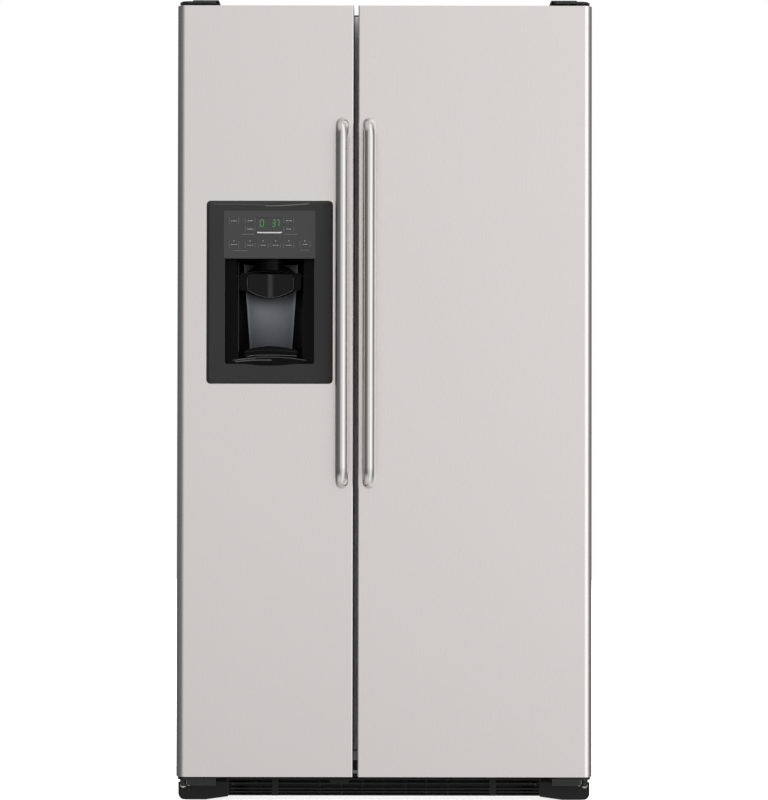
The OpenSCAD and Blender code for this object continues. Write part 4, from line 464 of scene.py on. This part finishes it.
def add_bowed_plate(shape, centre, thick, low, high, steps=18):
    """An upright plate bowed round a vertical axis; low and high give height, radius and half width."""
    grids = []
    for inward in (thick, 0):
        rows = []
        for z, radius, half in (low, high):
            reach, r = math.asin(half / radius), radius - inward
            turns = [reach * (2 * i / steps - 1) for i in range(steps + 1)]
            rows.append([shape.verts.new((centre[0] + r * math.sin(t), centre[1] + r * math.cos(t), z))
                         for t in turns])
        grids.append(rows)
    (a, b), (c, d) = grids
    for i in range(steps):
        shape.faces.new((a[i], a[i + 1], b[i + 1], b[i]))
        shape.faces.new((c[i + 1], c[i], d[i], d[i + 1]))
        shape.faces.new((a[i + 1], a[i], c[i], c[i + 1]))
        shape.faces.new((b[i], b[i + 1], d[i + 1], d[i]))
    for i in (0, steps):
        shape.faces.new((a[i], b[i], d[i], c[i]))


def add_cone_ring(shape, middle, sections, squash=1.0, steps=48):
    """A turned shell about an upright axis: (radius, height) sections outside, then back inside."""
    turns = [2 * math.pi * i / steps for i in range(steps)]
    rings = [[shape.verts.new((middle[0] + r * math.cos(t), middle[1] + squash * r * math.sin(t), z))
              for t in turns] for r, z in sections]
    for near, far in zip(rings, rings[1:] + rings[:1]):
        for i in range(steps):
            j = (i + 1) % steps
            shape.faces.new((near[i], near[j], far[j], far[i]))


def join_shape(shape, part, place, direction):
    """Adds a part made along +Z to a shape, with its middle at a place and its top in a direction."""
    matrix = Vector(direction).to_track_quat("Z", "Y").to_matrix().to_4x4()
    matrix.translation = place
    bmesh.ops.transform(part, matrix=matrix, verts=part.verts)
    mesh = bpy.data.meshes.new("part")
    part.to_mesh(mesh)
    part.free()
    shape.from_mesh(mesh)
    bpy.data.meshes.remove(mesh)


def add_screw(shape, place, direction, radius):
    """A coned screw head with a cross on its top, standing out from a surface."""
    head = bmesh.new()
    depth = radius * 0.5
    bmesh.ops.create_cone(head, cap_ends=True, segments=20, radius1=radius, radius2=radius * 0.72,
                          depth=depth)
    reach, half, level = radius * 0.45, radius * 0.09, depth / 2 + radius * 0.02
    arm = [(reach, half), (-reach, half), (-reach, -half), (reach, -half)]
    for outline in (arm, [(-b, a) for a, b in arm]):
        head.faces.new([head.verts.new((a, b, level)) for a, b in outline])
    join_shape(shape, head, Vector(place) + Vector(direction) * depth / 2, direction)


def make_piece(name, shape, body, finish, smooth=False):
    """Turns a shape into a piece that rides on a body."""
    bmesh.ops.recalc_face_normals(shape, faces=shape.faces)
    piece = add_object(name, shape)
    piece.data.materials.append(finish)
    if smooth:
        piece.data.shade_smooth()
    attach(piece, body)


# ---------------------------------------------------------------- control panel

# Pale grey ink, screen printed on the film: crisp matt marks
printed_ink = surface("screen_printed_ink", "9a9c9e", roughness=0.5, grain_mm=0.5, shade=0.05, wear=0.0)
# The same ink printed thin for the brackets round the keys: they only just show
faint_ink = surface("thin_screen_printed_ink", "606163", roughness=0.5, grain_mm=0.5, shade=0.05, wear=0.0)
# Light pipe of the display: frosted and lit from behind
lit_bar = surface("frosted_light_pipe", "9fa09f", roughness=0.4, grain_mm=0.5, shade=0.03, wear=0.0,
                  sockets={"Emission Color": (1, 1, 1, 1), "Emission Strength": 0.1})
# Green light emitting segments behind a smoked window
green_led = surface("green_light_segment", "2f6f28", roughness=0.4, grain_mm=0.5, shade=0.05, wear=0.0,
                    sockets={"Emission Color": (0.1, 0.6, 0.06, 1), "Emission Strength": 0.22})

PANEL_LOW, PANEL_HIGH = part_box("control_panel")
MIDDLE = (PANEL_LOW.x + PANEL_HIGH.x) / 2        # of the panel, the bezel and the alcove
PANEL_FACE = PANEL_LOW.y
PRINT = 0.15 * MM            # how far the print stands out of the film
SEGMENTS = {"0": "abcdef", "3": "abcdg", "7": "abc"}         # bars that each figure lights

# The print, in millimetres right of the panel's middle and down from its top edge
FIGURES = [("0", -17.2, 7.4), ("3", 8.7, 6.0), ("7", 17.7, 6.0)]         # figure, right, width
FIGURES_DOWN, FIGURE_HEIGHT = 27.2, 14
BAR_LEFT, BAR_RIGHT, BAR_ENDS_DOWN, BAR_DOWN = -27, 26, 46.6, 48
# right, down, width and height of each key
KEYS = [(-78, 22.5, 21, 13.6), (-42.7, 21.9, 21.5, 10.5), (41.6, 21.9, 22, 10.5), (-42.7, 40.3, 21.5, 10),
        (41.6, 40.3, 22, 10), (-78, 74.2, 21, 15), (-42.7, 75.5, 21.5, 10.3), (-14, 75.5, 21.5, 10.3),
        (13.1, 75.5, 21.5, 10.3), (41.4, 75.5, 22, 10.3), (77.3, 73.3, 22, 14)]
CAPTIONS = [(3, 5, 3), (4, 6), (5, 2, 4)]        # lengths of a key's dashes, key by key in turn
KEY_LAMPS, KEY_LAMPS_DOWN, LAMP_SIZE = (-78, -42.9, -14.5, 13.1, 41.8, 77.1), 65.9, 2.2
FOOTNOTES = [(-47.5, 51.4, (29,)), (46, 51.4, (31,)), (-64, 87.4, (5, 9, 6, 8)), (77, 86, (6, 4, 7))]


def panel_point(x_mm, down_mm):
    """A place on the panel: right of its middle and down from its top edge, in millimetres."""
    return MIDDLE + x_mm * MM, PANEL_HIGH.z - down_mm * MM


def add_digit(shape, figure, middle, width, height):
    """Lit bars of one seven-segment figure, a little apart and leaning right."""
    bar, lean, half_w, half_h = 1.7 * MM, 0.08, width / 2, height / 2
    places = {"a": (0, half_h, 1), "g": (0, 0, 1), "d": (0, -half_h, 1), "b": (half_w, half_h / 2, 0),
              "c": (half_w, -half_h / 2, 0), "f": (-half_w, half_h / 2, 0), "e": (-half_w, -half_h / 2, 0)}
    for segment in SEGMENTS[figure]:
        x, z, level = places[segment]
        reach = (half_w if level else half_h / 2) - 0.5 * MM
        tip = bar / 2
        ends = [(-reach, 0), (-reach + tip, -tip), (reach - tip, -tip),
                (reach, 0), (reach - tip, tip), (-reach + tip, tip)]
        if not level:
            ends = [(-b, a) for a, b in ends]
        outline = [(x + a + lean * (z + b), z + b) for a, b in ends]
        add_sheet(shape, outline, middle, PANEL_FACE - PRINT, PANEL_FACE + 2 * PRINT)


def add_bracket(shape, middle, width, height, side):
    """One upright bracket at a side of a key, with its ends turned in."""
    bend, half = 1.6 * MM, height / 2
    x = middle[0] + side * width / 2
    inner = x - side * bend
    route = [(inner, half), (x, half - bend), (x, bend - half), (inner, -half)]
    add_tube(shape, [(a, PANEL_FACE, middle[1] + up) for a, up in route], 0.45 * MM, sides=6, flat=0.5)


def add_dashes(shape, middle, widths):
    """A row of short plain dashes, in millimetres, about a middle."""
    x = middle[0] - (sum(widths) + len(widths) - 1) / 2 * MM
    for width in widths:
        dash = rounded_rectangle(width * MM, 1.1 * MM, 0.4 * MM, 2)
        add_sheet(shape, dash, (x + width / 2 * MM, middle[1]), PANEL_FACE - PRINT, PANEL_FACE + PRINT)
        x += (width + 1) * MM


def make_control_panel():
    """Lit figures, light bar, and the brackets, lamps and plain dashes of the keys."""
    figures = bmesh.new()
    for figure, x, width in FIGURES:
        add_digit(figures, figure, panel_point(x, FIGURES_DOWN), width * MM, FIGURE_HEIGHT * MM)
    make_piece("display_figures", figures, "freezer_door", green_led)

    bar = bmesh.new()
    route = [panel_point(BAR_LEFT, BAR_ENDS_DOWN), panel_point(BAR_LEFT + 2, BAR_DOWN),
             panel_point(BAR_RIGHT - 2, BAR_DOWN), panel_point(BAR_RIGHT, BAR_ENDS_DOWN)]
    add_tube(bar, [(x, PANEL_FACE, z) for x, z in route], 1.45 * MM, sides=12, flat=0.35)
    make_piece("display_light_bar", bar, "freezer_door", lit_bar, smooth=True)

    brackets, marks = bmesh.new(), bmesh.new()
    for k, (x, down, width, height) in enumerate(KEYS):
        middle = panel_point(x, down)
        for side in (-1, 1):
            add_bracket(brackets, middle, width * MM, height * MM, side)
        add_dashes(marks, middle, CAPTIONS[k % len(CAPTIONS)])
    for x in KEY_LAMPS:
        lamp = rounded_rectangle(LAMP_SIZE * MM, LAMP_SIZE * MM, LAMP_SIZE / 2 * MM, 4)
        add_sheet(marks, lamp, panel_point(x, KEY_LAMPS_DOWN), PANEL_FACE - PRINT, PANEL_FACE + PRINT)
    for x, down, widths in FOOTNOTES:
        add_dashes(brackets, panel_point(x, down), widths)
    make_piece("key_brackets", brackets, "freezer_door", faint_ink)
    make_piece("key_marks", marks, "freezer_door", printed_ink)


make_control_panel()


# ---------------------------------------------------------------- dispenser

CRADLE_LOW, CRADLE_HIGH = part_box("dispenser_paddle")
TRAY_LOW, TRAY_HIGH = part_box("drip_tray")
BEZEL_LOW, BEZEL_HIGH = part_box("dispenser_bezel")
ALCOVE_TOP = PANEL_LOW.z
ALCOVE_Y = DOOR_FRONT + 1.35 * MM        # axis of the round alcove
ALCOVE_R = 78.65 * MM                    # at its mouth, tapering a little towards the tray
NOZZLE_Y = DOOR_FRONT + 42.5 * MM

# Satin grey ABS of the splash plate at the back of the alcove, with a paler band painted in where it faces
# the room: a painted sheen
splash_grey = surface("satin_moulded_grey_abs", "505153", roughness=0.5, grain_mm=1.2, grain_depth_mm=0.02,
                      shade=0.05, wear=0.0, painted_sheen=(MIDDLE + 26 * MM, 70 * MM, "5a5c60"))
# Polished black ABS of the cradle's pad, with a pale band painted down its middle: a painted highlight where
# its curve would hold a reflection
cradle_gloss = surface("polished_black_abs_painted_highlight", "0b0b0b", roughness=0.3, grain_mm=5, shade=0.06, wear=0.0,
                       painted_sheen=(MIDDLE, 9 * MM, "2b2c2d"), sockets={"Specular IOR Level": 0.15})
# Black ABS of the nozzle, deep in the alcove, painted mid grey so that it is paler than its neighbours as a
# painted highlight on its ring, with the same painted band down its middle
nozzle_abs = surface("nozzle_abs_painted_highlight", "555555", roughness=0.4, grain_mm=4, shade=0.06, wear=0.0,
                     painted_sheen=(MIDDLE, 12 * MM, "bcbdbe"), sockets={"Specular IOR Level": 0.2})
# Painted highlights on the edges of the black mouldings: thin pale lines that stand for light caught on a
# rounded corner
painted_highlight_grey = surface("painted_highlight_abs_edge", "3a3a3a", roughness=0.35, grain_mm=1, shade=0.08, wear=0.0)
# The same painted highlights, painted dimmer on edges deeper in the shade: they only just show
dim_painted_highlight = surface("dim_painted_highlight_abs_edge", "222222", roughness=0.35, grain_mm=1, shade=0.08, wear=0.0)
# The same painted highlights, painted brightest where the edges face the light: the brightest lines on the
# black
bright_painted_highlight = surface("bright_painted_highlight_abs_edge", "5f5e5c", roughness=0.25, grain_mm=1, shade=0.08, wear=0.0)


def make_alcove():
    """Splash plate with its painted sheen, painted highlight lines on the edges in the alcove, sleeve of the
    nozzle painted pale as a highlight, and its collar.
    """
    plate = bmesh.new()
    add_bowed_plate(plate, (MIDDLE, ALCOVE_Y), 1.0 * MM,
                    (ALCOVE_TOP - 206 * MM, ALCOVE_R - 4.9 * MM, 46 * MM),
                    (ALCOVE_TOP - 9 * MM, ALCOVE_R - 1.3 * MM, 60 * MM))
    make_piece("splash_plate", plate, "freezer_door", splash_grey, smooth=True)

    # thin lines on the alcove's edge and on the ridges of its floor, coloured as painted highlights
    lines = bmesh.new()
    corner_x, corner_y = MIDDLE - 69.5 * MM, DOOR_FRONT + 21.6 * MM
    add_tube(lines, [(corner_x, corner_y, ALCOVE_TOP - drop * MM) for drop in (203, 6)], 0.7 * MM)
    for drop, reach, inward in ((190, 46, 64), (194, 56, 56), (198, 62, 48)):
        z = ALCOVE_TOP - drop * MM
        add_arc(lines, (MIDDLE - reach * MM, z - 5 * MM), (MIDDLE, z), (MIDDLE + reach * MM, z - 5 * MM),
                DOOR_FRONT + inward * MM, 0.5 * MM)
    make_piece("alcove_edges", lines, "freezer_door", dim_painted_highlight)

    # radius and drop below the alcove's top of each section
    sleeve_sections = [(24, 23.5), (25, 12), (27.5, 11), (27.5, 4), (19, 4), (19, 23.5)]
    collar_sections = [(55, 27), (30, 11), (26, 11), (26, 27)]
    sleeve, collar = bmesh.new(), bmesh.new()
    for shape, sections, squash in ((sleeve, sleeve_sections, 1.0), (collar, collar_sections, 0.5)):
        add_cone_ring(shape, (MIDDLE, NOZZLE_Y), [(r * MM, ALCOVE_TOP - drop * MM) for r, drop in sections],
                      squash)
    # the sleeve is painted pale with a paler middle band: a painted highlight
    make_piece("nozzle_sleeve", sleeve, "freezer_door", nozzle_abs)
    make_piece("nozzle_collar", collar, "freezer_door", gloss_black)


def make_cradle():
    """Pad on the cradle, rounded below, with a painted highlight down its middle, and painted highlight lines
    along its edges.
    """
    front, bottom, top = CRADLE_LOW.y, CRADLE_LOW.z, CRADLE_HIGH.z
    half = 49
    pad = bmesh.new()
    outline = [(x * MM, top - 3 * MM) for x in (-half, half)]
    outline += [(x * MM, bottom + (2 + 16 * (x / half) ** 2) * MM) for x in range(half, -half - 1, -7)]
    add_sheet(pad, outline, (MIDDLE, 0), front - 0.5 * MM, front + 0.4 * MM)
    make_piece("cradle_pad", pad, "dispenser_paddle_body", cradle_gloss)

    lines, proud = bmesh.new(), front - 0.3 * MM
    add_arc(lines, (MIDDLE - 50 * MM, bottom + 17.5 * MM), (MIDDLE, bottom + 1 * MM),
            (MIDDLE + 50 * MM, bottom + 17.5 * MM), proud, 0.7 * MM)
    for x in (MIDDLE - 50.5 * MM, MIDDLE + 50.5 * MM):
        add_tube(lines, [(x, proud, bottom + 20 * MM), (x, proud, top - 10 * MM)], 0.6 * MM)
    make_piece("cradle_edges", lines, "dispenser_paddle_body", painted_highlight_grey)


def make_tray_lips():
    """Painted highlight lines along the drip tray's lips, a painted reflection on the left of its front, and
    the glints on them.
    """
    left, right, rim, y = TRAY_LOW.x, TRAY_HIGH.x, TRAY_HIGH.z, TRAY_LOW.y - 0.2 * MM
    lip, glint = bmesh.new(), bmesh.new()
    add_arc(lip, (left + 8 * MM, rim - 8 * MM), (MIDDLE, rim - 1 * MM), (right - 8 * MM, rim - 8 * MM),
            y, 0.8 * MM)
    # flattened band on the left of the tray's front: a painted reflection
    add_arc(lip, (left + 14 * MM, rim - 11.5 * MM), (MIDDLE - 40 * MM, rim - 8 * MM),
            (MIDDLE + 5 * MM, rim - 7.5 * MM), y, 1.3 * MM, flat=0.4)
    add_arc(glint, (MIDDLE - 50 * MM, rim + 2 * MM), (MIDDLE - 5 * MM, rim + 4.5 * MM),
            (MIDDLE + 58 * MM, rim + 2.5 * MM), y + 30 * MM, 0.6 * MM)
    add_arc(glint, (left + 12 * MM, rim - 9.5 * MM), (MIDDLE - 60 * MM, rim - 6 * MM),
            (MIDDLE - 30 * MM, rim - 5 * MM), y - 0.4 * MM, 0.4 * MM)
    make_piece("tray_lips", lip, "freezer_door", painted_highlight_grey)
    make_piece("tray_glints", glint, "freezer_door", bright_painted_highlight)


def make_bezel_crease():
    """Painted highlights along the crease moulded under the bezel's upper edge: bright at the right, fading
    to the left.
    """
    top, face = BEZEL_HIGH.z, BEZEL_LOW.y - 0.1 * MM
    crease, sweep = bmesh.new(), bmesh.new()
    add_arc(crease, (MIDDLE - 10 * MM, top - 11.5 * MM), (MIDDLE + 28 * MM, top - 11 * MM),
            (MIDDLE + 86 * MM, top - 7 * MM), face, 0.9 * MM, flat=0.3)
    add_arc(sweep, (MIDDLE - 122 * MM, top - 8.5 * MM), (MIDDLE - 40 * MM, top - 9 * MM),
            (MIDDLE - 8 * MM, top - 11.5 * MM), face, 0.8 * MM, flat=0.3)
    make_piece("bezel_crease", crease, "freezer_door", bright_painted_highlight)
    make_piece("bezel_sweep", sweep, "freezer_door", painted_highlight_grey)


make_alcove()
make_cradle()
make_tray_lips()
make_bezel_crease()


# ---------------------------------------------------------------- plinth, gap and hinges

# Grey vinyl strip over the mullion, matt and lightly ribbed
mullion_grey = surface("ribbed_grey_vinyl", "dcdcde", roughness=0.7, grain_mm=2.5, grain_depth_mm=0.05,
                       shade=0.12)

# the plate behind the grille is a dark sheet put where there is only shade: painted shade
BAFFLE_Y = -0.246            # face of the plate behind the grille
BAFFLE_RIB_PITCH = 100
BOLTS = ((443, 38, 5.6), (431, 39.5, 3.2))       # out from the middle, height, radius in mm
GRILLE_SCREWS = ((334, 40), (430, 26))           # out from the middle, height in mm


def make_shade_baffle():
    """Ribbed black plate behind the grille: a dark sheet that stands in for the shade under the case, painted
    shade.
    """
    case_low, case_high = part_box("cabinet_wrapper")
    baffle = bmesh.new()
    add_block(baffle, (case_low.x + 14 * MM, BAFFLE_Y, 0.006),
              (case_high.x - 14 * MM, BAFFLE_Y + 1.5 * MM, 0.064), 0.3 * MM)
    for x in range(-400, 401, BAFFLE_RIB_PITCH):
        add_block(baffle, ((x - 2) * MM, BAFFLE_Y + 1.5 * MM, 0.01),
                  ((x + 2) * MM, BAFFLE_Y + 10 * MM, 0.06), 0.3 * MM)
    make_piece("plinth_shade_baffle", baffle, "cabinet", black_pp)


def make_mullion():
    """Strip in the gap between the doors, in two lengths, and the foot under it."""
    case_low, case_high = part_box("cabinet_wrapper")
    gap_x = (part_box("freezer_door_skin")[1].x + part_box("fresh_door_skin")[0].x) / 2
    seat = case_low.y - 0.1 * MM
    strip = bmesh.new()
    for bottom, top in ((0.112, case_high.z - 4 * MM), (0.089, 0.109)):
        add_block(strip, (gap_x - 4 * MM, case_low.y - 2.5 * MM, bottom), (gap_x + 4 * MM, seat, top),
                  0.6 * MM)
    make_piece("mullion_strip", strip, "cabinet", mullion_grey)
    foot = bmesh.new()
    add_block(foot, (gap_x - 9 * MM, case_low.y - 3.5 * MM, 0.0655), (gap_x + 9 * MM, seat, 0.0875), 1.2 * MM)
    make_piece("mullion_foot", foot, "cabinet", black_pp)


def make_plinth_fixings():
    """Bolts of the lower hinges and screws of the grille."""
    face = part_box("toe_grille")[0].y
    bolts, screws = bmesh.new(), bmesh.new()
    for side in (-1, 1):
        for x, z, radius in BOLTS:
            bolt = bmesh.new()
            for sides, width, depth in ((24, 1.25, 0.4), (6, 1.0, 1.2)):
                bmesh.ops.create_cone(bolt, cap_ends=True, segments=sides, radius1=radius * width * MM,
                                      radius2=radius * width * 0.92 * MM, depth=radius * depth * MM)
            join_shape(bolts, bolt, (side * x * MM, face - radius * 0.3 * MM, z * MM), (0, -1, 0))
        for x, z in GRILLE_SCREWS:
            add_screw(screws, (side * x * MM, face, z * MM), (0, -1, 0), 3.2 * MM)
    make_piece("hinge_bolts", bolts, "cabinet", zinc)
    make_piece("grille_screws", screws, "cabinet", pot_enamel)


make_shade_baffle()
make_mullion()
make_plinth_fixings()


# ---------------------------------------------------------------- inside the compartments

# Grey ABS of switches, latches and trims inside: even satin
trim_grey = surface("moulded_grey_abs", "8b9094", roughness=0.38, grain_mm=0.8, grain_depth_mm=0.015,
                    shade=0.03, wear=0.0, sockets={"IOR": 1.53})
# Polystyrene in the shade behind slots and vents: reads as a dark hollow
vent_dark = surface("shadowed_polystyrene", "2b2d2f", roughness=0.7, grain_mm=2, shade=0.1, wear=0.0)
# Satin anodised aluminium strip along the shelf fronts: fine lines along its length
shelf_strip = surface("satin_anodised_aluminium", "c9ccce", metallic=1.0, roughness=0.34, grain_mm=0.8,
                      stretch=(0.02, 1, 1), shade=0.03, edge_mm=0.4, wear=0.0)

SHELF_TOPS = (0.760, 0.980, 1.200, 1.420)
FREEZER_BINS = ((0.170, 75), (0.430, 75), (0.690, 110), (1.551, 110))         # floor height, depth in mm
FRESH_BINS = ((0.170, 75), (0.400, 75), (0.770, 105), (1.005, 105), (1.240, 105))
BIN_HEIGHT = 0.090
BIN_RIBS = 9
VENT_HEIGHTS = (0.70, 0.90, 1.12, 1.34, 1.56)
GRIP_RIBS = 30
HUMIDITY_MARKS = 9


def make_evaporator_cover_trims():
    """Raised border and screws of the evaporator's cover."""
    low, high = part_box("evaporator_cover")
    width, height = high.x - low.x, high.z - low.z
    middle = ((low.x + high.x) / 2, (low.z + high.z) / 2)
    bead = bmesh.new()
    add_frame(bead, rounded_rectangle(width - 16 * MM, height - 16 * MM, 20 * MM),
              rounded_rectangle(width - 24 * MM, height - 24 * MM, 17 * MM), middle,
              low.y - 1.2 * MM, low.y + 0.4 * MM)
    make_piece("evaporator_cover_bead", bead, "cabinet", liner_white)
    screws = bmesh.new()
    for side in (-1, 1):
        x = middle[0] + side * (width / 2 - 20 * MM)
        for z in (low.z + 130 * MM, middle[1] + 60 * MM, high.z - 135 * MM):
            add_screw(screws, (x, low.y, z), (0, -1, 0), 4.2 * MM)
    make_piece("evaporator_cover_screws", screws, "cabinet", zinc)


def make_ice_maker_front():
    """Ribbed front cover of the ice maker and its rocker switch in a frame."""
    low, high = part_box("ice_maker")
    seat = low.y - 2.9 * MM
    cover = bmesh.new()
    add_block(cover, (low.x + 5 * MM, low.y - 3 * MM, low.z + 6 * MM),
              (high.x - 5 * MM, low.y - 0.1 * MM, high.z - 8 * MM), 1.4 * MM)
    for i in range(5):
        z = low.z + (28 + 12 * i) * MM
        add_block(cover, (low.x + 60 * MM, low.y - 4 * MM, z),
                  (high.x - 22 * MM, low.y - 2.8 * MM, z + 5 * MM), 0.5 * MM)
    make_piece("ice_maker_front", cover, "cabinet", white_abs)

    switch = bmesh.new()
    x, z = low.x + 30 * MM, low.z + 52 * MM
    add_frame(switch, rounded_rectangle(24 * MM, 36 * MM, 3 * MM),
              rounded_rectangle(18 * MM, 30 * MM, 2 * MM), (x, z), low.y - 4.4 * MM, seat)
    for out, bottom, top, rounding in ((5, -14.6, 0.4, 0.8), (3.8, 0.8, 14.6, 0.4)):
        add_block(switch, (x - 8.6 * MM, low.y - out * MM, z + bottom * MM),
                  (x + 8.6 * MM, seat, z + top * MM), rounding * MM)
    make_piece("ice_maker_switch", switch, "cabinet", trim_grey)


def make_shelf_and_duct_trims():
    """Strips along the shelf fronts, and the air duct with its vents behind them."""
    low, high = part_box("shelf_frames")
    strips = bmesh.new()
    for z in SHELF_TOPS:
        add_block(strips, (low.x + 8 * MM, low.y - 1.4 * MM, z - 6.5 * MM),
                  (high.x - 8 * MM, low.y - 0.1 * MM, z + 4.5 * MM), 0.5 * MM)
    make_piece("shelf_front_strips", strips, "cabinet", shelf_strip)

    middle = (low.x + high.x) / 2
    duct, vents = bmesh.new(), bmesh.new()
    add_block(duct, (middle - 62 * MM, high.y - 6 * MM, 0.66), (middle + 62 * MM, high.y - 0.1 * MM, 1.61),
              2.4 * MM)
    for z in VENT_HEIGHTS:
        for i in range(4):
            x = middle + (i - 1.5) * 24 * MM
            slot = rounded_rectangle(18 * MM, 5 * MM, 2.4 * MM)
            add_sheet(vents, slot, (x, z), high.y - 6.4 * MM, high.y - 5.4 * MM)
    make_piece("air_duct", duct, "cabinet", liner_white)
    make_piece("air_vents", vents, "cabinet", vent_dark)


def make_filter_grip():
    """Upright ribs round the water filter's cap."""
    low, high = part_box("water_filter")
    x, y, radius = (low.x + high.x) / 2, (low.y + high.y) / 2, (high.x - low.x) / 2
    grip = bmesh.new()
    for i in range(GRIP_RIBS):
        turn = 2 * math.pi * i / GRIP_RIBS
        foot = (x + radius * math.cos(turn), y + radius * math.sin(turn))
        add_tube(grip, [(*foot, low.z + 8 * MM), (*foot, low.z + 42 * MM)], 1.1 * MM, sides=6)
    make_piece("filter_grip", grip, "water_filter_body", white_abs)


def make_humidity_marks():
    """A row of marks that grow along the travel of the humidity slider."""
    low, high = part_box("humidity_slider")
    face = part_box("crisper_cover")[0].y
    marks = bmesh.new()
    for i in range(HUMIDITY_MARKS):
        mark = rounded_rectangle(1.4 * MM, (2 + 0.3 * i) * MM, 0.6 * MM, 3)
        middle = (low.x + (4 + 9 * i) * MM, high.z + 3.4 * MM)
        add_sheet(marks, mark, middle, face - 0.3 * MM, face + 0.4 * MM)
    make_piece("humidity_marks", marks, "cabinet", trim_grey)


def make_bin_trims(door, bins):
    """White beads along the upper front edge of a door's bins, and ribs under them."""
    low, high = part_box(door + "_bins")
    beads = bmesh.new()
    for z, depth in bins:
        front, rim = low.y + (depth + 3) * MM, z + BIN_HEIGHT - 5 * MM
        add_tube(beads, [(low.x + 7 * MM, front, rim), (high.x - 7 * MM, front, rim)], 2.6 * MM, sides=10)
    for z, depth in bins:
        front = low.y + (depth + 3) * MM
        for i in range(BIN_RIBS):
            x = low.x + (high.x - low.x) * (i + 1) / (BIN_RIBS + 1)
            add_block(beads, (x - 0.8 * MM, front - 3.1 * MM, z + 18 * MM),
                      (x + 0.8 * MM, front - 2.2 * MM, z + 70 * MM), 0.3 * MM)
    make_piece(door + "_bin_beads", beads, door, white_abs)


make_evaporator_cover_trims()
make_ice_maker_front()
make_shelf_and_duct_trims()
make_filter_grip()
make_humidity_marks()
make_bin_trims("freezer_door", FREEZER_BINS)
make_bin_trims("fresh_door", FRESH_BINS)


# ---------------------------------------------------------------- back

def make_back():
    """Flange over the back panel's top, and screws round the panel and the rear cover."""
    panel_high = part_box("back_panel")[1]
    case_low, case_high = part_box("cabinet_wrapper")
    cover_low, cover_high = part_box("rear_cover")
    flange = bmesh.new()
    add_sheet(flange, rounded_rectangle(case_high.x - case_low.x - 3 * MM, 60 * MM, 6 * MM),
              (0, case_high.z - 31.2 * MM), panel_high.y - 4.2 * MM, panel_high.y - 3.4 * MM)
    make_piece("back_top_flange", flange, "cabinet", galvanised)

    # x and z of each screw
    edge_x = panel_high.x - 12 * MM
    panel_screws = [(side * edge_x, z) for z in (0.30, 0.66, 1.02, 1.38, 1.70) for side in (-1, 1)]
    panel_screws += [(x * MM, panel_high.z - 14 * MM) for x in (-300, -100, 100, 300)]
    cover_screws = [(x * MM, cover_high.z - 7 * MM) for x in (-436, -145, 145, 436)]
    cover_screws += [(x * MM, z) for x in (-436, 436)
                     for z in (cover_low.z + 8 * MM, (cover_low.z + cover_high.z) / 2)]
    screws = bmesh.new()
    for x, z in panel_screws:
        add_screw(screws, (x, panel_high.y - 2.5 * MM, z), (0, 1, 0), 4.2 * MM)
    for x, z in cover_screws:
        add_screw(screws, (x, cover_low.y + 2 * MM, z), (0, 1, 0), 4.0 * MM)
    make_piece("back_screws", screws, "cabinet", zinc)


make_back()
